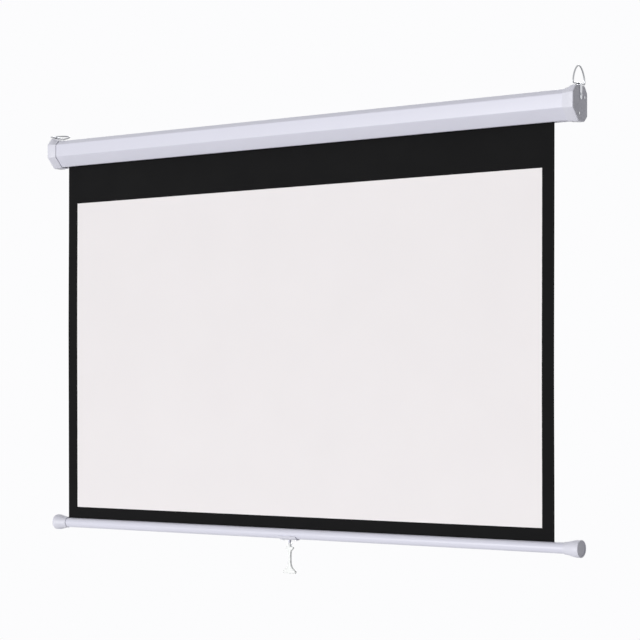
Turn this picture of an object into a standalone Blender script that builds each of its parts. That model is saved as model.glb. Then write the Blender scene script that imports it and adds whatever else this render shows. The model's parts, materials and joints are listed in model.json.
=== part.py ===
"""Manual pull down projector screen with a spring roller in an octagonal steel casing.

The screen hangs from a D ring on each end cap. Its sheet unwinds from a spring roller and is
kept flat by a round batten, which is pulled by a small handle on a wire link. A ratchet on the
fixed spindle and two pawls on the roller hold the sheet where it is let go.

Frame: the origin is the middle of the casing's back face, which is the wall plane. X runs along
the casing to the right as seen from the front, Y points into the wall and Z points up. Metres.
"""

from math import acos, asin, atan2, ceil, cos, pi, sin, sqrt, tan

import bmesh
import bpy
from mathutils import Vector

# Clearances between pieces
FIT = 0.0003
# how far a cutter runs past the face it opens
CUT_SPARE = 0.01

# Screen sheet
PICTURE_WIDTH = 1.594
PICTURE_HEIGHT = 0.897
SIDE_BORDER = 0.0355
BOTTOM_BORDER = 0.033
TOP_DROP = 0.110
# the sheet's middle lies this far to the right of the casing's and the batten's, here to the left
SHEET_OFFSET = -0.015
SHEET_THICKNESS = 0.0005
MASK_THICKNESS = 0.0003
WRAP_TURNS = 1.25

# Casing, roll formed from steel strip
CASING_DEPTH = 0.068
CASING_HEIGHT = 0.076
CASING_WALL = 0.001
CASING_BEND = 0.004
TOP_FRONT_CHAMFER = (0.014, 0.012)
LOWER_FRONT_CHAMFER = (0.026, 0.029)
LOWER_REAR_CHAMFER = (0.015, 0.015)
TOP_REAR_CHAMFER = (0.014, 0.014)
SLOT_WIDTH = 0.014
SLOT_LIP = 0.006
LIP_BEND = 0.0015

# End caps
END_OVERHANG = 0.0625
CAP_LENGTH = 0.0325
CAP_WALL = 0.003
CASING_LAP = 0.012
SPIGOT_REACH = 0.016
SPIGOT_WALL = 0.002
SKIRT_WALL = 0.0018
CAP_FLARE = 0.0014
CAP_RISE = 0.0055
CAP_EDGE = 0.0030
CAP_CORNER = 0.005
CAP_INNER_CORNER = 0.004
CAVITY_CORNER = 0.003
# shares of the cap's length, of its flare and of its rise, from its mouth outwards
CAP_SWELL = ((0.0, 0.0, 0.0), (0.35, 0.3, 0.25), (0.70, 1.0, 1.0))
BOSS_RADIUS = 0.0042
# the boss's place along Y, and its distance inwards from the casing's top or bottom
BOSS_HIGH = (-0.016, 0.020)
BOSS_LOW = (-0.042, 0.015)
KEYHOLE_HEAD_RADIUS = 0.0045
KEYHOLE_SLOT_RADIUS = 0.0024
KEYHOLE_RISE = 0.011
KEYHOLE_LOW_Z = -0.007

# Brackets inside the end caps
BRACKET_SETBACK = 0.003
BRACKET_THICKNESS = 0.002
BRACKET_FLANGE = 0.0045
BRACKET_CORNER = 0.003

# Roller
ROLLER_AXIS_Y = -0.045
ROLLER_AXIS_Z = 0.003
ROLLER_RADIUS = 0.015
ROLLER_WALL = 0.001
ROLLER_END_ROOM = 0.0225
GROOVE_DEPTH = 0.0032
SPLINE_RADIUS = 0.0013
GROOVE_ANGLE = 0.5 * pi
PLUG_LENGTH = 0.020
PLUG_FLANGE_RADIUS = 0.0165
PLUG_FLANGE_LENGTH = 0.005
IDLER_PIN_RADIUS = 0.004
IDLER_PIN_REACH = 0.0065
BUSH_WALL = 0.002
BUSH_FLANGE_RADIUS = 0.009
BUSH_FLANGE_LENGTH = 0.0014
BUSH_REACH = 0.001

# Spring motor
SPINDLE_RADIUS = 0.0035
TANG_THICKNESS = 0.004
TANG_REACH = 0.0065
TANG_SLOT_ROOM = 0.0009
ARBOR_RADIUS = 0.0068
ARBOR_LENGTH = 0.012
SPRING_WIRE_RADIUS = 0.0009
SPRING_TURNS = 30
SPRING_PITCH = 0.008
ANCHOR_LENGTH = 0.016
RATCHET_RADIUS = 0.0095
RATCHET_THICKNESS = 0.005
RATCHET_GAP = 0.0012
RATCHET_NOTCH_FLOOR = 0.0062
RATCHET_NOTCH_LEAD = 0.0015
PAWL_PIVOT_RADIUS = 0.0138
PAWL_PIVOT_LAG = 48.0 * pi / 180.0
PAWL_REACH = 0.0104
PAWL_TIP_RADIUS = 0.001
PAWL_BOSS_RADIUS = 0.0026
PAWL_THICKNESS = 0.004
PAWL_LIFT = 11.0 * pi / 180.0
PAWL_PIN_RADIUS = 0.0012
PAWL_PIN_HEAD_RADIUS = 0.0021
PAWL_PIN_HEAD = 0.001

# Batten
BATTEN_RADIUS = 0.014
BATTEN_WALL = 0.0012
BATTEN_SLOT = 0.003
HEM_ROD_RADIUS = 0.0034
HEM_SINK = 0.0070
BATTEN_OVERHANG = 0.0625
BATTEN_CAP_LENGTH = 0.046
BATTEN_CAP_LAP = 0.024
BATTEN_CAP_WALL = 0.0016
BATTEN_CAP_RADIUS = 0.022
BATTEN_CAP_RECESS = 0.002
BATTEN_CAP_EDGE = 0.0015
BATTEN_CAP_RIM = 0.0035
BATTEN_CAP_DRAFT = 0.0005

# Pull handle under the batten
SADDLE_LENGTH = 0.060
SADDLE_THICKNESS = 0.0025
SADDLE_HALF_ANGLE = 68.0 * pi / 180.0
LUG_THICKNESS = 0.004
LUG_RADIUS = 0.004
LUG_DROP = 0.0045
LINK_WIRE_RADIUS = 0.0011
LINK_HALF_WIDTH = 0.0072
LINK_PITCH = 0.009
LINK_HOLE_PLAY = 0.0005
HANDLE_BARREL_RADIUS = 0.0042
HANDLE_BARREL_WIDTH = 0.006
# distance below the barrel's centre, half width and half depth of the handle's sections
HANDLE_STATIONS = (
    (0.0044, 0.0105, 0.0030),
    (0.0056, 0.0132, 0.0040),
    (0.0092, 0.0136, 0.0044),
    (0.0125, 0.0105, 0.0044),
    (0.0170, 0.0062, 0.0042),
    (0.0250, 0.0046, 0.0040),
    (0.0400, 0.0044, 0.0040),
    (0.0530, 0.0056, 0.0042),
    (0.0610, 0.0098, 0.0046),
    (0.0670, 0.0170, 0.0052),
    (0.0710, 0.0212, 0.0056),
    (0.0750, 0.0218, 0.0054),
    (0.0778, 0.0196, 0.0036),
)

# D ring hangers
RING_WIRE_RADIUS = 0.0020
RING_HALF_WIDTH = 0.028
RING_HEIGHT = 0.045
RING_CORNER = 0.004
RING_POINT = 1.7
RING_INSET = 0.005
# how far each ring is folded in towards the casing from upright
RING_FOLDS = {"left": 88.0 * pi / 180.0, "right": 0.0}
STRAP_THICKNESS = 0.0012
STRAP_WIDTH = 0.010
STRAP_DROP = 0.030
STRAP_SCREW_DROP = 0.022
STRAP_BEND = 0.003

# Screws
SCREW_RADIUS = 0.0016
SCREW_HOLE_PLAY = 0.0003
SCREW_HEAD_RADIUS = 0.0034
SCREW_HEAD_HEIGHT = 0.0020
BRACKET_SCREW_LENGTH = 0.014
CASING_SCREW_LENGTH = 0.006
CASING_SCREW_PLACES = (-0.044, -0.024)
CASING_SCREW_INSET = 0.008
STRAP_SCREW_LENGTH = 0.009
SADDLE_SCREW_LENGTH = 0.008
SADDLE_SCREW_OFFSET = 0.022

# Facet counts
ROUND_STEPS = 32
FINE_STEPS = 40
SMALL_STEPS = 16
BEND_STEPS = 3

# Places worked out from the sizes above
SHEET_WIDTH = PICTURE_WIDTH + 2.0 * SIDE_BORDER
END_FACE_X = 0.5 * SHEET_WIDTH + END_OVERHANG
CAP_MOUTH_X = END_FACE_X - CAP_LENGTH
CAP_FLOOR_X = END_FACE_X - CAP_WALL
CASING_END_X = CAP_MOUTH_X + CASING_LAP
SPIGOT_END_X = CAP_MOUTH_X - SPIGOT_REACH
BRACKET_X = CASING_END_X + BRACKET_SETBACK
ROLLER_END_X = CASING_END_X - ROLLER_END_ROOM
FLANGE_END_X = ROLLER_END_X + FIT + PLUG_FLANGE_LENGTH
CASING_BOTTOM_Z = -0.5 * CASING_HEIGHT
BOSS_PLACES = (
    (BOSS_HIGH[0], 0.5 * CASING_HEIGHT - BOSS_HIGH[1]),
    (BOSS_LOW[0], CASING_BOTTOM_Z + BOSS_LOW[1]),
)
CAP_TOP_Z = 0.5 * CASING_HEIGHT + FIT + SKIRT_WALL + CAP_FLARE + CAP_RISE
CAVITY_INSET = CASING_WALL + FIT + SPIGOT_WALL
WRAP_START_RADIUS = ROLLER_RADIUS + FIT + 0.5 * SHEET_THICKNESS
WRAP_PITCH = SHEET_THICKNESS + FIT
SHEET_Y = ROLLER_AXIS_Y + WRAP_START_RADIUS + WRAP_TURNS * WRAP_PITCH
MASK_Y = SHEET_Y - 0.5 * SHEET_THICKNESS - FIT - 0.5 * MASK_THICKNESS
SLOT_FRONT_Y = SHEET_Y - 0.5 * SLOT_WIDTH
SLOT_REAR_Y = SHEET_Y + 0.5 * SLOT_WIDTH
PICTURE_TOP_Z = CASING_BOTTOM_Z - TOP_DROP
PICTURE_BOTTOM_Z = PICTURE_TOP_Z - PICTURE_HEIGHT
BATTEN_TOP_Z = PICTURE_BOTTOM_Z - BOTTOM_BORDER
BATTEN_Z = BATTEN_TOP_Z - BATTEN_RADIUS
BATTEN_END_X = 0.5 * SHEET_WIDTH + BATTEN_OVERHANG
SADDLE_SCREW_PLACES = (SHEET_OFFSET - SADDLE_SCREW_OFFSET, SHEET_OFFSET + SADDLE_SCREW_OFFSET)
LUG_Z = BATTEN_Z - BATTEN_RADIUS - FIT - SADDLE_THICKNESS - LUG_DROP
HANDLE_Z = LUG_Z - LINK_PITCH
RING_BASE_Z = CAP_TOP_Z + FIT + STRAP_THICKNESS + FIT + RING_WIRE_RADIUS
RING_CENTRE_Y = -0.5 * CASING_DEPTH

# Colours, roughness and metallic of each finish
FINISHES = {
    "white_coated_steel": ((0.70, 0.70, 0.78), 0.40, 0.0),
    "pale_moulding": ((0.64, 0.64, 0.72), 0.50, 0.0),
    "white_sheet": ((0.82, 0.80, 0.81), 0.90, 0.0),
    "black_mask": ((0.013, 0.013, 0.014), 0.85, 0.0),
    "nickel_wire": ((0.42, 0.42, 0.43), 0.35, 1.0),
    "zinc_steel": ((0.55, 0.56, 0.58), 0.35, 1.0),
    "spring_steel": ((0.36, 0.36, 0.38), 0.40, 1.0),
    "roller_aluminium": ((0.62, 0.63, 0.65), 0.40, 1.0),
    "nylon": ((0.78, 0.77, 0.72), 0.50, 0.0),
    "handle_moulding": ((0.74, 0.75, 0.74), 0.45, 0.0),
}

# Turns an outline drawn in X and Y into the YZ plane, with its thickness along X
ALONG_X = (0.5 * pi, 0.0, 0.5 * pi)


def clear_scene():
    """Remove every object of the start-up scene."""
    for old in list(bpy.data.objects):
        bpy.data.objects.remove(old, do_unlink=True)


def make_collection(name):
    """Make a collection under the scene's own."""
    made = bpy.data.collections.new(name)
    bpy.context.scene.collection.children.link(made)
    return made


def make_material(name):
    """Make the Principled material of one finish."""
    colour, roughness, metallic = FINISHES[name]
    made = bpy.data.materials.new(name)
    made.use_nodes = True
    shader = made.node_tree.nodes["Principled BSDF"]
    shader.inputs["Base Color"].default_value = (*colour, 1.0)
    shader.inputs["Roughness"].default_value = roughness
    shader.inputs["Metallic"].default_value = metallic
    made.diffuse_color = (*colour, 1.0)
    return made


clear_scene()
PARTS = make_collection("pull_down_projector_screen")
CUTTERS = make_collection("cutters")


def place(name, data, finish=None, location=(0.0, 0.0, 0.0), rotation=(0.0, 0.0, 0.0)):
    """Link a mesh or curve as a part, or as a cutter where no finish is given."""
    made = bpy.data.objects.new(name, data)
    made.location = location
    made.rotation_euler = rotation
    if finish is None:
        CUTTERS.objects.link(made)
        made.hide_render = True
        made.display_type = "WIRE"
        return made
    PARTS.objects.link(made)
    if finish not in bpy.data.materials:
        make_material(finish)
    data.materials.append(bpy.data.materials[finish])
    return made


def mesh_from(name, build):
    """Make a mesh with a function that fills a bmesh."""
    grid = bmesh.new()
    build(grid)
    mesh = bpy.data.meshes.new(name)
    grid.to_mesh(mesh)
    grid.free()
    return mesh


def smooth(piece, angle=0.6):
    """Shade the round faces of a piece smooth and keep its sharp edges."""
    piece.data.shade_smooth()
    piece.data.set_sharp_from_angle(angle=angle)
    return piece


def solidify(piece, thickness, offset=0.0):
    """Give an open surface its wall."""
    wall = piece.modifiers.new("wall", "SOLIDIFY")
    wall.thickness = thickness
    wall.offset = offset
    wall.use_even_offset = True


def combine(piece, tool, operation="DIFFERENCE"):
    """Cut a tool out of a piece, or join it on."""
    step = piece.modifiers.new(operation.lower(), "BOOLEAN")
    step.operation = operation
    step.object = tool
    step.solver = "EXACT"


def arc(centre, radius, start, end, steps):
    """Points on an arc, both ends included."""
    return [
        (
            centre[0] + radius * cos(start + (end - start) * i / steps),
            centre[1] + radius * sin(start + (end - start) * i / steps),
        )
        for i in range(steps + 1)
    ]


def rounded(points, radius, steps=BEND_STEPS, closed=True):
    """Replace each corner of an outline by an arc of the given radius, or list of radii."""
    made = []
    count = len(points)
    for i, point in enumerate(points):
        if not closed and i in (0, count - 1):
            made.append(point)
            continue
        here = Vector(point)
        back = (Vector(points[i - 1]) - here).normalized()
        ahead = (Vector(points[(i + 1) % count]) - here).normalized()
        half = 0.5 * acos(max(-1.0, min(1.0, back.dot(ahead))))
        bend = radius[i] if isinstance(radius, (list, tuple)) else radius
        centre = here + (back + ahead).normalized() * (bend / sin(half))
        first = here + back * (bend / tan(half)) - centre
        last = here + ahead * (bend / tan(half)) - centre
        start = atan2(first.y, first.x)
        turn = atan2(last.y, last.x) - start
        turn = (turn + pi) % (2.0 * pi) - pi
        made += arc(centre, bend, start, start + turn, steps)
    return made


def grown(points, distance):
    """Move each side of a closed outline outwards by a distance, with mitred corners."""
    count = len(points)
    area = sum(
        points[i - 1][0] * points[i][1] - points[i][0] * points[i - 1][1] for i in range(count)
    )
    side = 1.0 if area > 0.0 else -1.0
    made = []
    for i in range(count):
        here = Vector(points[i])
        before = (here - Vector(points[i - 1])).normalized()
        after = (Vector(points[(i + 1) % count]) - here).normalized()
        out_before = Vector((before.y, -before.x)) * side
        out_after = Vector((after.y, -after.x)) * side
        mitre = out_before + out_after
        made.append(tuple(here + mitre * (2.0 * distance / mitre.length_squared)))
    return made


def casing_corners():
    """Corners of the casing's octagonal section, from the slot's side round the front."""
    half = 0.5 * CASING_HEIGHT
    return [
        (-CASING_DEPTH + LOWER_FRONT_CHAMFER[0], -half),
        (-CASING_DEPTH, -half + LOWER_FRONT_CHAMFER[1]),
        (-CASING_DEPTH, half - TOP_FRONT_CHAMFER[1]),
        (-CASING_DEPTH + TOP_FRONT_CHAMFER[0], half),
        (-TOP_REAR_CHAMFER[0], half),
        (0.0, half - TOP_REAR_CHAMFER[1]),
        (0.0, -half + LOWER_REAR_CHAMFER[1]),
        (-LOWER_REAR_CHAMFER[0], -half),
    ]


def cap_corners(flare, rise):
    """Corners of the end cap's outer section, flush with the wall plane at the back."""
    made = grown(casing_corners(), FIT + SKIRT_WALL + flare)
    for corner, beside in ((5, 4), (6, 7)):
        y, z = made[corner]
        y_beside, z_beside = made[beside]
        share = y / (y - y_beside)
        made[corner] = (0.0, z + share * (z_beside - z))
    for corner in (3, 4):
        y, z = made[corner]
        made[corner] = (y, z + rise)
    return made


def loft(name, sections, origin_x, finish=None):
    """Join closed outlines with the same number of points, given as (x, outline)."""

    def build(grid):
        rings = [
            [grid.verts.new((x - origin_x, y, z)) for y, z in outline] for x, outline in sections
        ]
        for low, high in zip(rings, rings[1:]):
            for i in range(len(low)):
                grid.faces.new((low[i - 1], low[i], high[i], high[i - 1]))
        grid.faces.new(rings[0])
        grid.faces.new(rings[-1])
        bmesh.ops.recalc_face_normals(grid, faces=grid.faces)

    return place(name, mesh_from(name, build), finish, (origin_x, 0.0, 0.0))


def slab(name, outlines, thickness, location, rotation, finish=None):
    """Flat plate from 2D outlines, the later ones being holes, made into a welded mesh."""
    flat = bpy.data.curves.new(name, "CURVE")
    flat.dimensions = "2D"
    flat.fill_mode = "BOTH"
    flat.extrude = 0.5 * thickness
    for outline in outlines:
        line = flat.splines.new("POLY")
        line.points.add(len(outline) - 1)
        for point, (x, y) in zip(line.points, outline):
            point.co = (x, y, 0.0, 1.0)
        line.use_cyclic_u = True
    return meshed(name, flat, location, rotation, finish)


def meshed(name, curve, location, rotation, finish):
    """Turn a curve into a mesh object with its caps welded."""
    guide = bpy.data.objects.new(name + "_guide", curve)
    bpy.context.scene.collection.objects.link(guide)
    graph = bpy.context.evaluated_depsgraph_get()
    graph.update()
    mesh = bpy.data.meshes.new_from_object(guide.evaluated_get(graph))
    bpy.data.objects.remove(guide, do_unlink=True)
    grid = bmesh.new()
    grid.from_mesh(mesh)
    bmesh.ops.remove_doubles(grid, verts=grid.verts, dist=0.000001)
    bmesh.ops.recalc_face_normals(grid, faces=grid.faces)
    grid.to_mesh(mesh)
    grid.free()
    mesh.name = name
    mesh.materials.clear()
    return place(name, mesh, finish, location, rotation)


def wire(name, points, radius, finish, closed=False, resolution=2):
    """Round wire along points in world coordinates."""
    line = bpy.data.curves.new(name, "CURVE")
    line.dimensions = "3D"
    line.bevel_depth = radius
    line.bevel_resolution = resolution
    line.use_fill_caps = not closed
    path = line.splines.new("POLY")
    path.points.add(len(points) - 1)
    for point, place_at in zip(path.points, points):
        point.co = (*place_at, 1.0)
    path.use_cyclic_u = closed
    return place(name, line, finish)


def ribbon(name, path, length, thickness, finish, centre=(0.0, 0.0, 0.0), closed=False):
    """Strip along X with a wall, its section a path of (y, z) measured from its centre."""

    def build(grid):
        low = [grid.verts.new((-0.5 * length, y, z)) for y, z in path]
        high = [grid.verts.new((0.5 * length, y, z)) for y, z in path]
        for i in range(0 if closed else 1, len(path)):
            grid.faces.new((low[i - 1], low[i], high[i], high[i - 1]))

    made = place(name, mesh_from(name, build), finish, centre)
    solidify(made, thickness)
    return smooth(made)


def turned(name, profile, finish, location, rotation=ALONG_X, steps=ROUND_STEPS, closed=False):
    """Turned piece from (distance along the axis, radius), outer side from far to near end."""

    def build(grid):
        line = [grid.verts.new((radius, 0.0, along)) for along, radius in profile]
        for i in range(0 if closed else 1, len(line)):
            grid.edges.new((line[i - 1], line[i]))

    made = place(name, mesh_from(name, build), finish, location, rotation)
    spin = made.modifiers.new("turn", "SCREW")
    spin.angle = 2.0 * pi
    spin.steps = steps
    spin.render_steps = steps
    spin.use_merge_vertices = True
    spin.merge_threshold = 0.00001
    spin.use_smooth_shade = False
    return made


def rod_tool(name, radius, length, location, rotation, steps=SMALL_STEPS):
    """Round cutter or boss, centred, along its own Z before rotation."""

    def build(grid):
        bmesh.ops.create_cone(
            grid, cap_ends=True, segments=steps, radius1=radius, radius2=radius, depth=length
        )

    return place(name, mesh_from(name, build), None, location, rotation)


def box_tool(name, low, high):
    """Box cutter between two corners."""
    middle = [0.5 * (a + b) for a, b in zip(low, high)]
    size = [b - a for a, b in zip(low, high)]

    def build(grid):
        bmesh.ops.create_cube(grid, size=1.0)
        bmesh.ops.scale(grid, vec=size, verts=grid.verts)

    return place(name, mesh_from(name, build), None, middle)


def across(side):
    """Rotation that lays a turned piece along X, pointing outwards at the given end."""
    return (0.0, side * 0.5 * pi, 0.0)


def make_casing():
    """C section of steel strip with an open slot along its bottom for the sheet."""
    corners = casing_corners()
    inner = SLOT_LIP - 0.5 * CASING_WALL
    wall_mid = grown(corners, -0.5 * CASING_WALL)
    slot_z = CASING_BOTTOM_Z + 0.5 * CASING_WALL
    front = SLOT_FRONT_Y - 0.5 * CASING_WALL
    rear = SLOT_REAR_Y + 0.5 * CASING_WALL
    path = [(front, slot_z + inner), (front, slot_z)]
    path += wall_mid
    path += [(rear, slot_z), (rear, slot_z + inner)]
    bends = [0.0, LIP_BEND] + [CASING_BEND] * len(wall_mid) + [LIP_BEND, 0.0]
    line = rounded(path, bends, closed=False)
    return ribbon("casing", line, 2.0 * CASING_END_X, CASING_WALL, "white_coated_steel")


def make_end_cap(name, side):
    """Moulded cover over one end of the casing, with its spigot, bosses and keyhole."""

    def outline(corners, corner_radius=CAP_CORNER):
        return rounded(corners, corner_radius)

    stations = [
        (CAP_MOUTH_X + share * CAP_LENGTH, flare * CAP_FLARE, rise * CAP_RISE)
        for share, flare, rise in CAP_SWELL
    ]
    stations.append((END_FACE_X - CAP_EDGE, CAP_FLARE, CAP_RISE))
    stations.append((END_FACE_X - 0.3 * CAP_EDGE, CAP_FLARE - 0.3 * CAP_EDGE, CAP_RISE))
    sections = [(side * x, outline(cap_corners(flare, rise))) for x, flare, rise in stations]
    rim = grown(cap_corners(CAP_FLARE, CAP_RISE), -CAP_EDGE)
    sections.append((side * END_FACE_X, outline(rim, CAP_INNER_CORNER)))
    origin = side * END_FACE_X
    cap = loft(name, sections, origin, "pale_moulding")

    spigot = grown(casing_corners(), -CASING_WALL - FIT)
    ring = outline(spigot, CAP_INNER_CORNER)
    reach = loft(
        name + "_spigot",
        [(side * SPIGOT_END_X, ring), (side * (CAP_MOUTH_X + SKIRT_WALL), ring)],
        origin,
    )
    combine(cap, reach, "UNION")

    lap = outline(grown(casing_corners(), FIT), CASING_BEND)
    groove = loft(
        name + "_groove",
        [(side * (SPIGOT_END_X - CAP_LENGTH), lap), (side * (CASING_END_X + FIT), lap)],
        origin,
    )
    core = loft(
        name + "_groove_core",
        [
            (side * (SPIGOT_END_X - 2.0 * CAP_LENGTH), ring),
            (side * END_FACE_X, ring),
        ],
        origin,
    )
    combine(groove, core)
    combine(cap, groove)

    hollow = outline(grown(casing_corners(), -CAVITY_INSET), CAVITY_CORNER)
    cavity = loft(
        name + "_cavity",
        [(side * (SPIGOT_END_X - CAP_LENGTH), hollow), (side * CAP_FLOOR_X, hollow)],
        origin,
    )
    combine(cap, cavity)

    lips = box_tool(
        name + "_lip_room",
        (
            min(side * (SPIGOT_END_X - CUT_SPARE), side * (CASING_END_X + FIT)),
            SLOT_FRONT_Y - CASING_WALL - LIP_BEND,
            CASING_BOTTOM_Z - 0.5 * FIT,
        ),
        (
            max(side * (SPIGOT_END_X - CUT_SPARE), side * (CASING_END_X + FIT)),
            SLOT_REAR_Y + CASING_WALL + LIP_BEND,
            CASING_BOTTOM_Z + SLOT_LIP + FIT,
        ),
    )
    combine(cap, lips)

    boss_start = BRACKET_X + BRACKET_THICKNESS + FIT
    boss_length = CAP_FLOOR_X + 0.5 * CAP_WALL - boss_start
    boss_middle = side * (boss_start + 0.5 * boss_length)
    hole = SCREW_RADIUS + SCREW_HOLE_PLAY
    for number, (y, z) in enumerate(BOSS_PLACES, 1):
        boss = rod_tool(
            f"{name}_boss_{number}", BOSS_RADIUS, boss_length, (boss_middle, y, z), across(side)
        )
        combine(cap, boss, "UNION")
        pilot = rod_tool(
            f"{name}_pilot_{number}",
            hole,
            4.0 * boss_length,
            (boss_middle, y, z),
            across(side),
        )
        combine(cap, pilot)

    strap_hole = rod_tool(
        name + "_strap_hole",
        hole,
        6.0 * CAP_WALL,
        (side * END_FACE_X, RING_CENTRE_Y, CAP_TOP_Z - STRAP_SCREW_DROP),
        across(side),
    )
    combine(cap, strap_hole)

    for number, y in enumerate(CASING_SCREW_PLACES, 1):
        pilot = rod_tool(
            f"{name}_casing_pilot_{number}",
            hole,
            2.0 * CUT_SPARE,
            (side * (CAP_MOUTH_X - CASING_SCREW_INSET), y, 0.5 * CASING_HEIGHT),
            (0.0, 0.0, 0.0),
        )
        combine(cap, pilot)

    combine(cap, keyhole_tool(name + "_keyhole", side))
    smooth(cap, angle=0.7)


def keyhole_middle_x():
    """Place of the wall keyhole along X, between the bracket and the cap's end wall."""
    return 0.5 * (BRACKET_X + BRACKET_THICKNESS + CAP_FLOOR_X)


def keyhole_tool(name, side):
    """Keyhole for a wall screw: a round entry with a narrower slot above it."""
    lean = asin(KEYHOLE_SLOT_RADIUS / KEYHOLE_HEAD_RADIUS)
    entry = arc((0.0, 0.0), KEYHOLE_HEAD_RADIUS, 0.5 * pi + lean, 2.5 * pi - lean, SMALL_STEPS)
    end = arc((0.0, KEYHOLE_RISE), KEYHOLE_SLOT_RADIUS, 0.0, pi, SMALL_STEPS // 2)
    return slab(
        name,
        [entry + end],
        2.2 * CAVITY_INSET,
        (side * keyhole_middle_x(), 0.0, KEYHOLE_LOW_Z),
        (0.5 * pi, 0.0, 0.0),
    )


def make_bracket(name, side):
    """Pressed steel tray inside an end cap, which carries one end of the roller."""
    corners = grown(casing_corners(), -CAVITY_INSET - FIT)
    outline = rounded(corners, BRACKET_CORNER)
    outer = side * (BRACKET_X + BRACKET_THICKNESS)

    def build(grid):
        base = [grid.verts.new((0.0, y, z)) for y, z in outline]
        rim = [grid.verts.new((-side * BRACKET_FLANGE, y, z)) for y, z in outline]
        grid.faces.new(base)
        for i in range(len(base)):
            grid.faces.new((base[i - 1], base[i], rim[i], rim[i - 1]))
        bmesh.ops.recalc_face_normals(grid, faces=grid.faces)

    tray = place(name, mesh_from(name, build), "zinc_steel", (outer, 0.0, 0.0))
    solidify(tray, BRACKET_THICKNESS, -1.0)
    middle = outer - 0.5 * side * BRACKET_THICKNESS
    for number, (y, z) in enumerate(BOSS_PLACES, 1):
        pilot = rod_tool(
            f"{name}_pilot_{number}",
            SCREW_RADIUS + SCREW_HOLE_PLAY,
            4.0 * BRACKET_THICKNESS,
            (middle, y, z),
            across(side),
        )
        combine(tray, pilot)
    return tray, middle


def make_brackets():
    """The slotted bracket on the spring side and the round holed one on the idler side."""
    tray, middle = make_bracket("bracket_left", -1.0)
    half = 0.5 * TANG_THICKNESS + FIT
    low = -SPINDLE_RADIUS - TANG_SLOT_ROOM
    top = 0.5 * CASING_HEIGHT - ROLLER_AXIS_Z
    foot = arc((0.0, low + half), half, pi, 2.0 * pi, SMALL_STEPS // 2)
    slot = slab(
        "bracket_left_slot",
        [foot + [(half, top), (-half, top)]],
        8.0 * BRACKET_THICKNESS,
        (middle, ROLLER_AXIS_Y, ROLLER_AXIS_Z),
        ALONG_X,
    )
    combine(tray, slot)
    smooth(tray)

    tray, middle = make_bracket("bracket_right", 1.0)
    seat = rod_tool(
        "bracket_right_seat",
        IDLER_PIN_RADIUS + FIT + BUSH_WALL + FIT,
        4.0 * BRACKET_THICKNESS,
        (middle, ROLLER_AXIS_Y, ROLLER_AXIS_Z),
        across(1.0),
        ROUND_STEPS,
    )
    combine(tray, seat)
    smooth(tray)


def make_idler_bush():
    """Nylon bush in the right bracket's hole, with a flange towards the roller."""
    bore = IDLER_PIN_RADIUS + FIT
    body = bore + BUSH_WALL
    flange = BRACKET_X - FIT
    near = flange - BUSH_FLANGE_LENGTH
    far = BRACKET_X + BRACKET_THICKNESS + BUSH_REACH
    profile = [
        (far, bore),
        (far, body),
        (flange, body),
        (flange, BUSH_FLANGE_RADIUS),
        (near, BUSH_FLANGE_RADIUS),
        (near, bore),
    ]
    turned("idler_bush", profile, "nylon", (0.0, ROLLER_AXIS_Y, ROLLER_AXIS_Z), closed=True)


def make_roller_tube():
    """Aluminium tube with a U groove along it that takes the sheet's spline."""
    mid = ROLLER_RADIUS - 0.5 * ROLLER_WALL
    half = SPLINE_RADIUS + FIT + 0.5 * ROLLER_WALL
    lean = asin(half / mid)
    round_part = arc(
        (0.0, 0.0), mid, GROOVE_ANGLE + lean, GROOVE_ANGLE - lean + 2.0 * pi, FINE_STEPS
    )
    floor = mid - GROOVE_DEPTH
    along = Vector((cos(GROOVE_ANGLE), sin(GROOVE_ANGLE)))
    aside = Vector((-along.y, along.x))
    groove = [tuple(along * floor - aside * half), tuple(along * floor + aside * half)]
    ribbon(
        "roller_tube",
        round_part + groove,
        2.0 * ROLLER_END_X,
        ROLLER_WALL,
        "roller_aluminium",
        (0.0, ROLLER_AXIS_Y, ROLLER_AXIS_Z),
        closed=True,
    )

    middle = ROLLER_RADIUS - SPLINE_RADIUS - FIT
    centre = (
        SHEET_OFFSET,
        ROLLER_AXIS_Y + middle * along.x,
        ROLLER_AXIS_Z + middle * along.y,
    )
    ends = [(0.5 * SHEET_WIDTH, 0.0), (0.5 * SHEET_WIDTH, SPLINE_RADIUS)]
    ends += [(-0.5 * SHEET_WIDTH, SPLINE_RADIUS), (-0.5 * SHEET_WIDTH, 0.0)]
    turned("sheet_spline", ends, "nylon", centre, steps=SMALL_STEPS)


def key_slot(name, low_x, high_x):
    """Cutter for the keyway where a plug in the tube straddles the tube's groove."""
    half = SPLINE_RADIUS + ROLLER_WALL + 2.0 * FIT
    floor = ROLLER_RADIUS - ROLLER_WALL - GROOVE_DEPTH - FIT
    turn = GROOVE_ANGLE + 0.5 * pi
    made = box_tool(
        name,
        (low_x, -half, -2.0 * ROLLER_RADIUS),
        (high_x, half, -floor),
    )
    made.location = (
        0.5 * (low_x + high_x),
        ROLLER_AXIS_Y + 0.5 * (floor + 2.0 * ROLLER_RADIUS) * sin(turn),
        ROLLER_AXIS_Z - 0.5 * (floor + 2.0 * ROLLER_RADIUS) * cos(turn),
    )
    made.rotation_euler = (turn, 0.0, 0.0)
    return made


def plug_profile(bore, inner_end, side):
    """Section of a roller plug: barrel in the tube and flange over the tube's end."""
    barrel = ROLLER_RADIUS - ROLLER_WALL - FIT
    start = ROLLER_END_X + FIT
    points = [
        (FLANGE_END_X, bore),
        (FLANGE_END_X, PLUG_FLANGE_RADIUS),
        (start, PLUG_FLANGE_RADIUS),
        (start, barrel),
        (inner_end, barrel),
        (inner_end, bore),
    ]
    if side < 0.0:
        points = [(-along, radius) for along, radius in reversed(points)]
    return points


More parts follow.
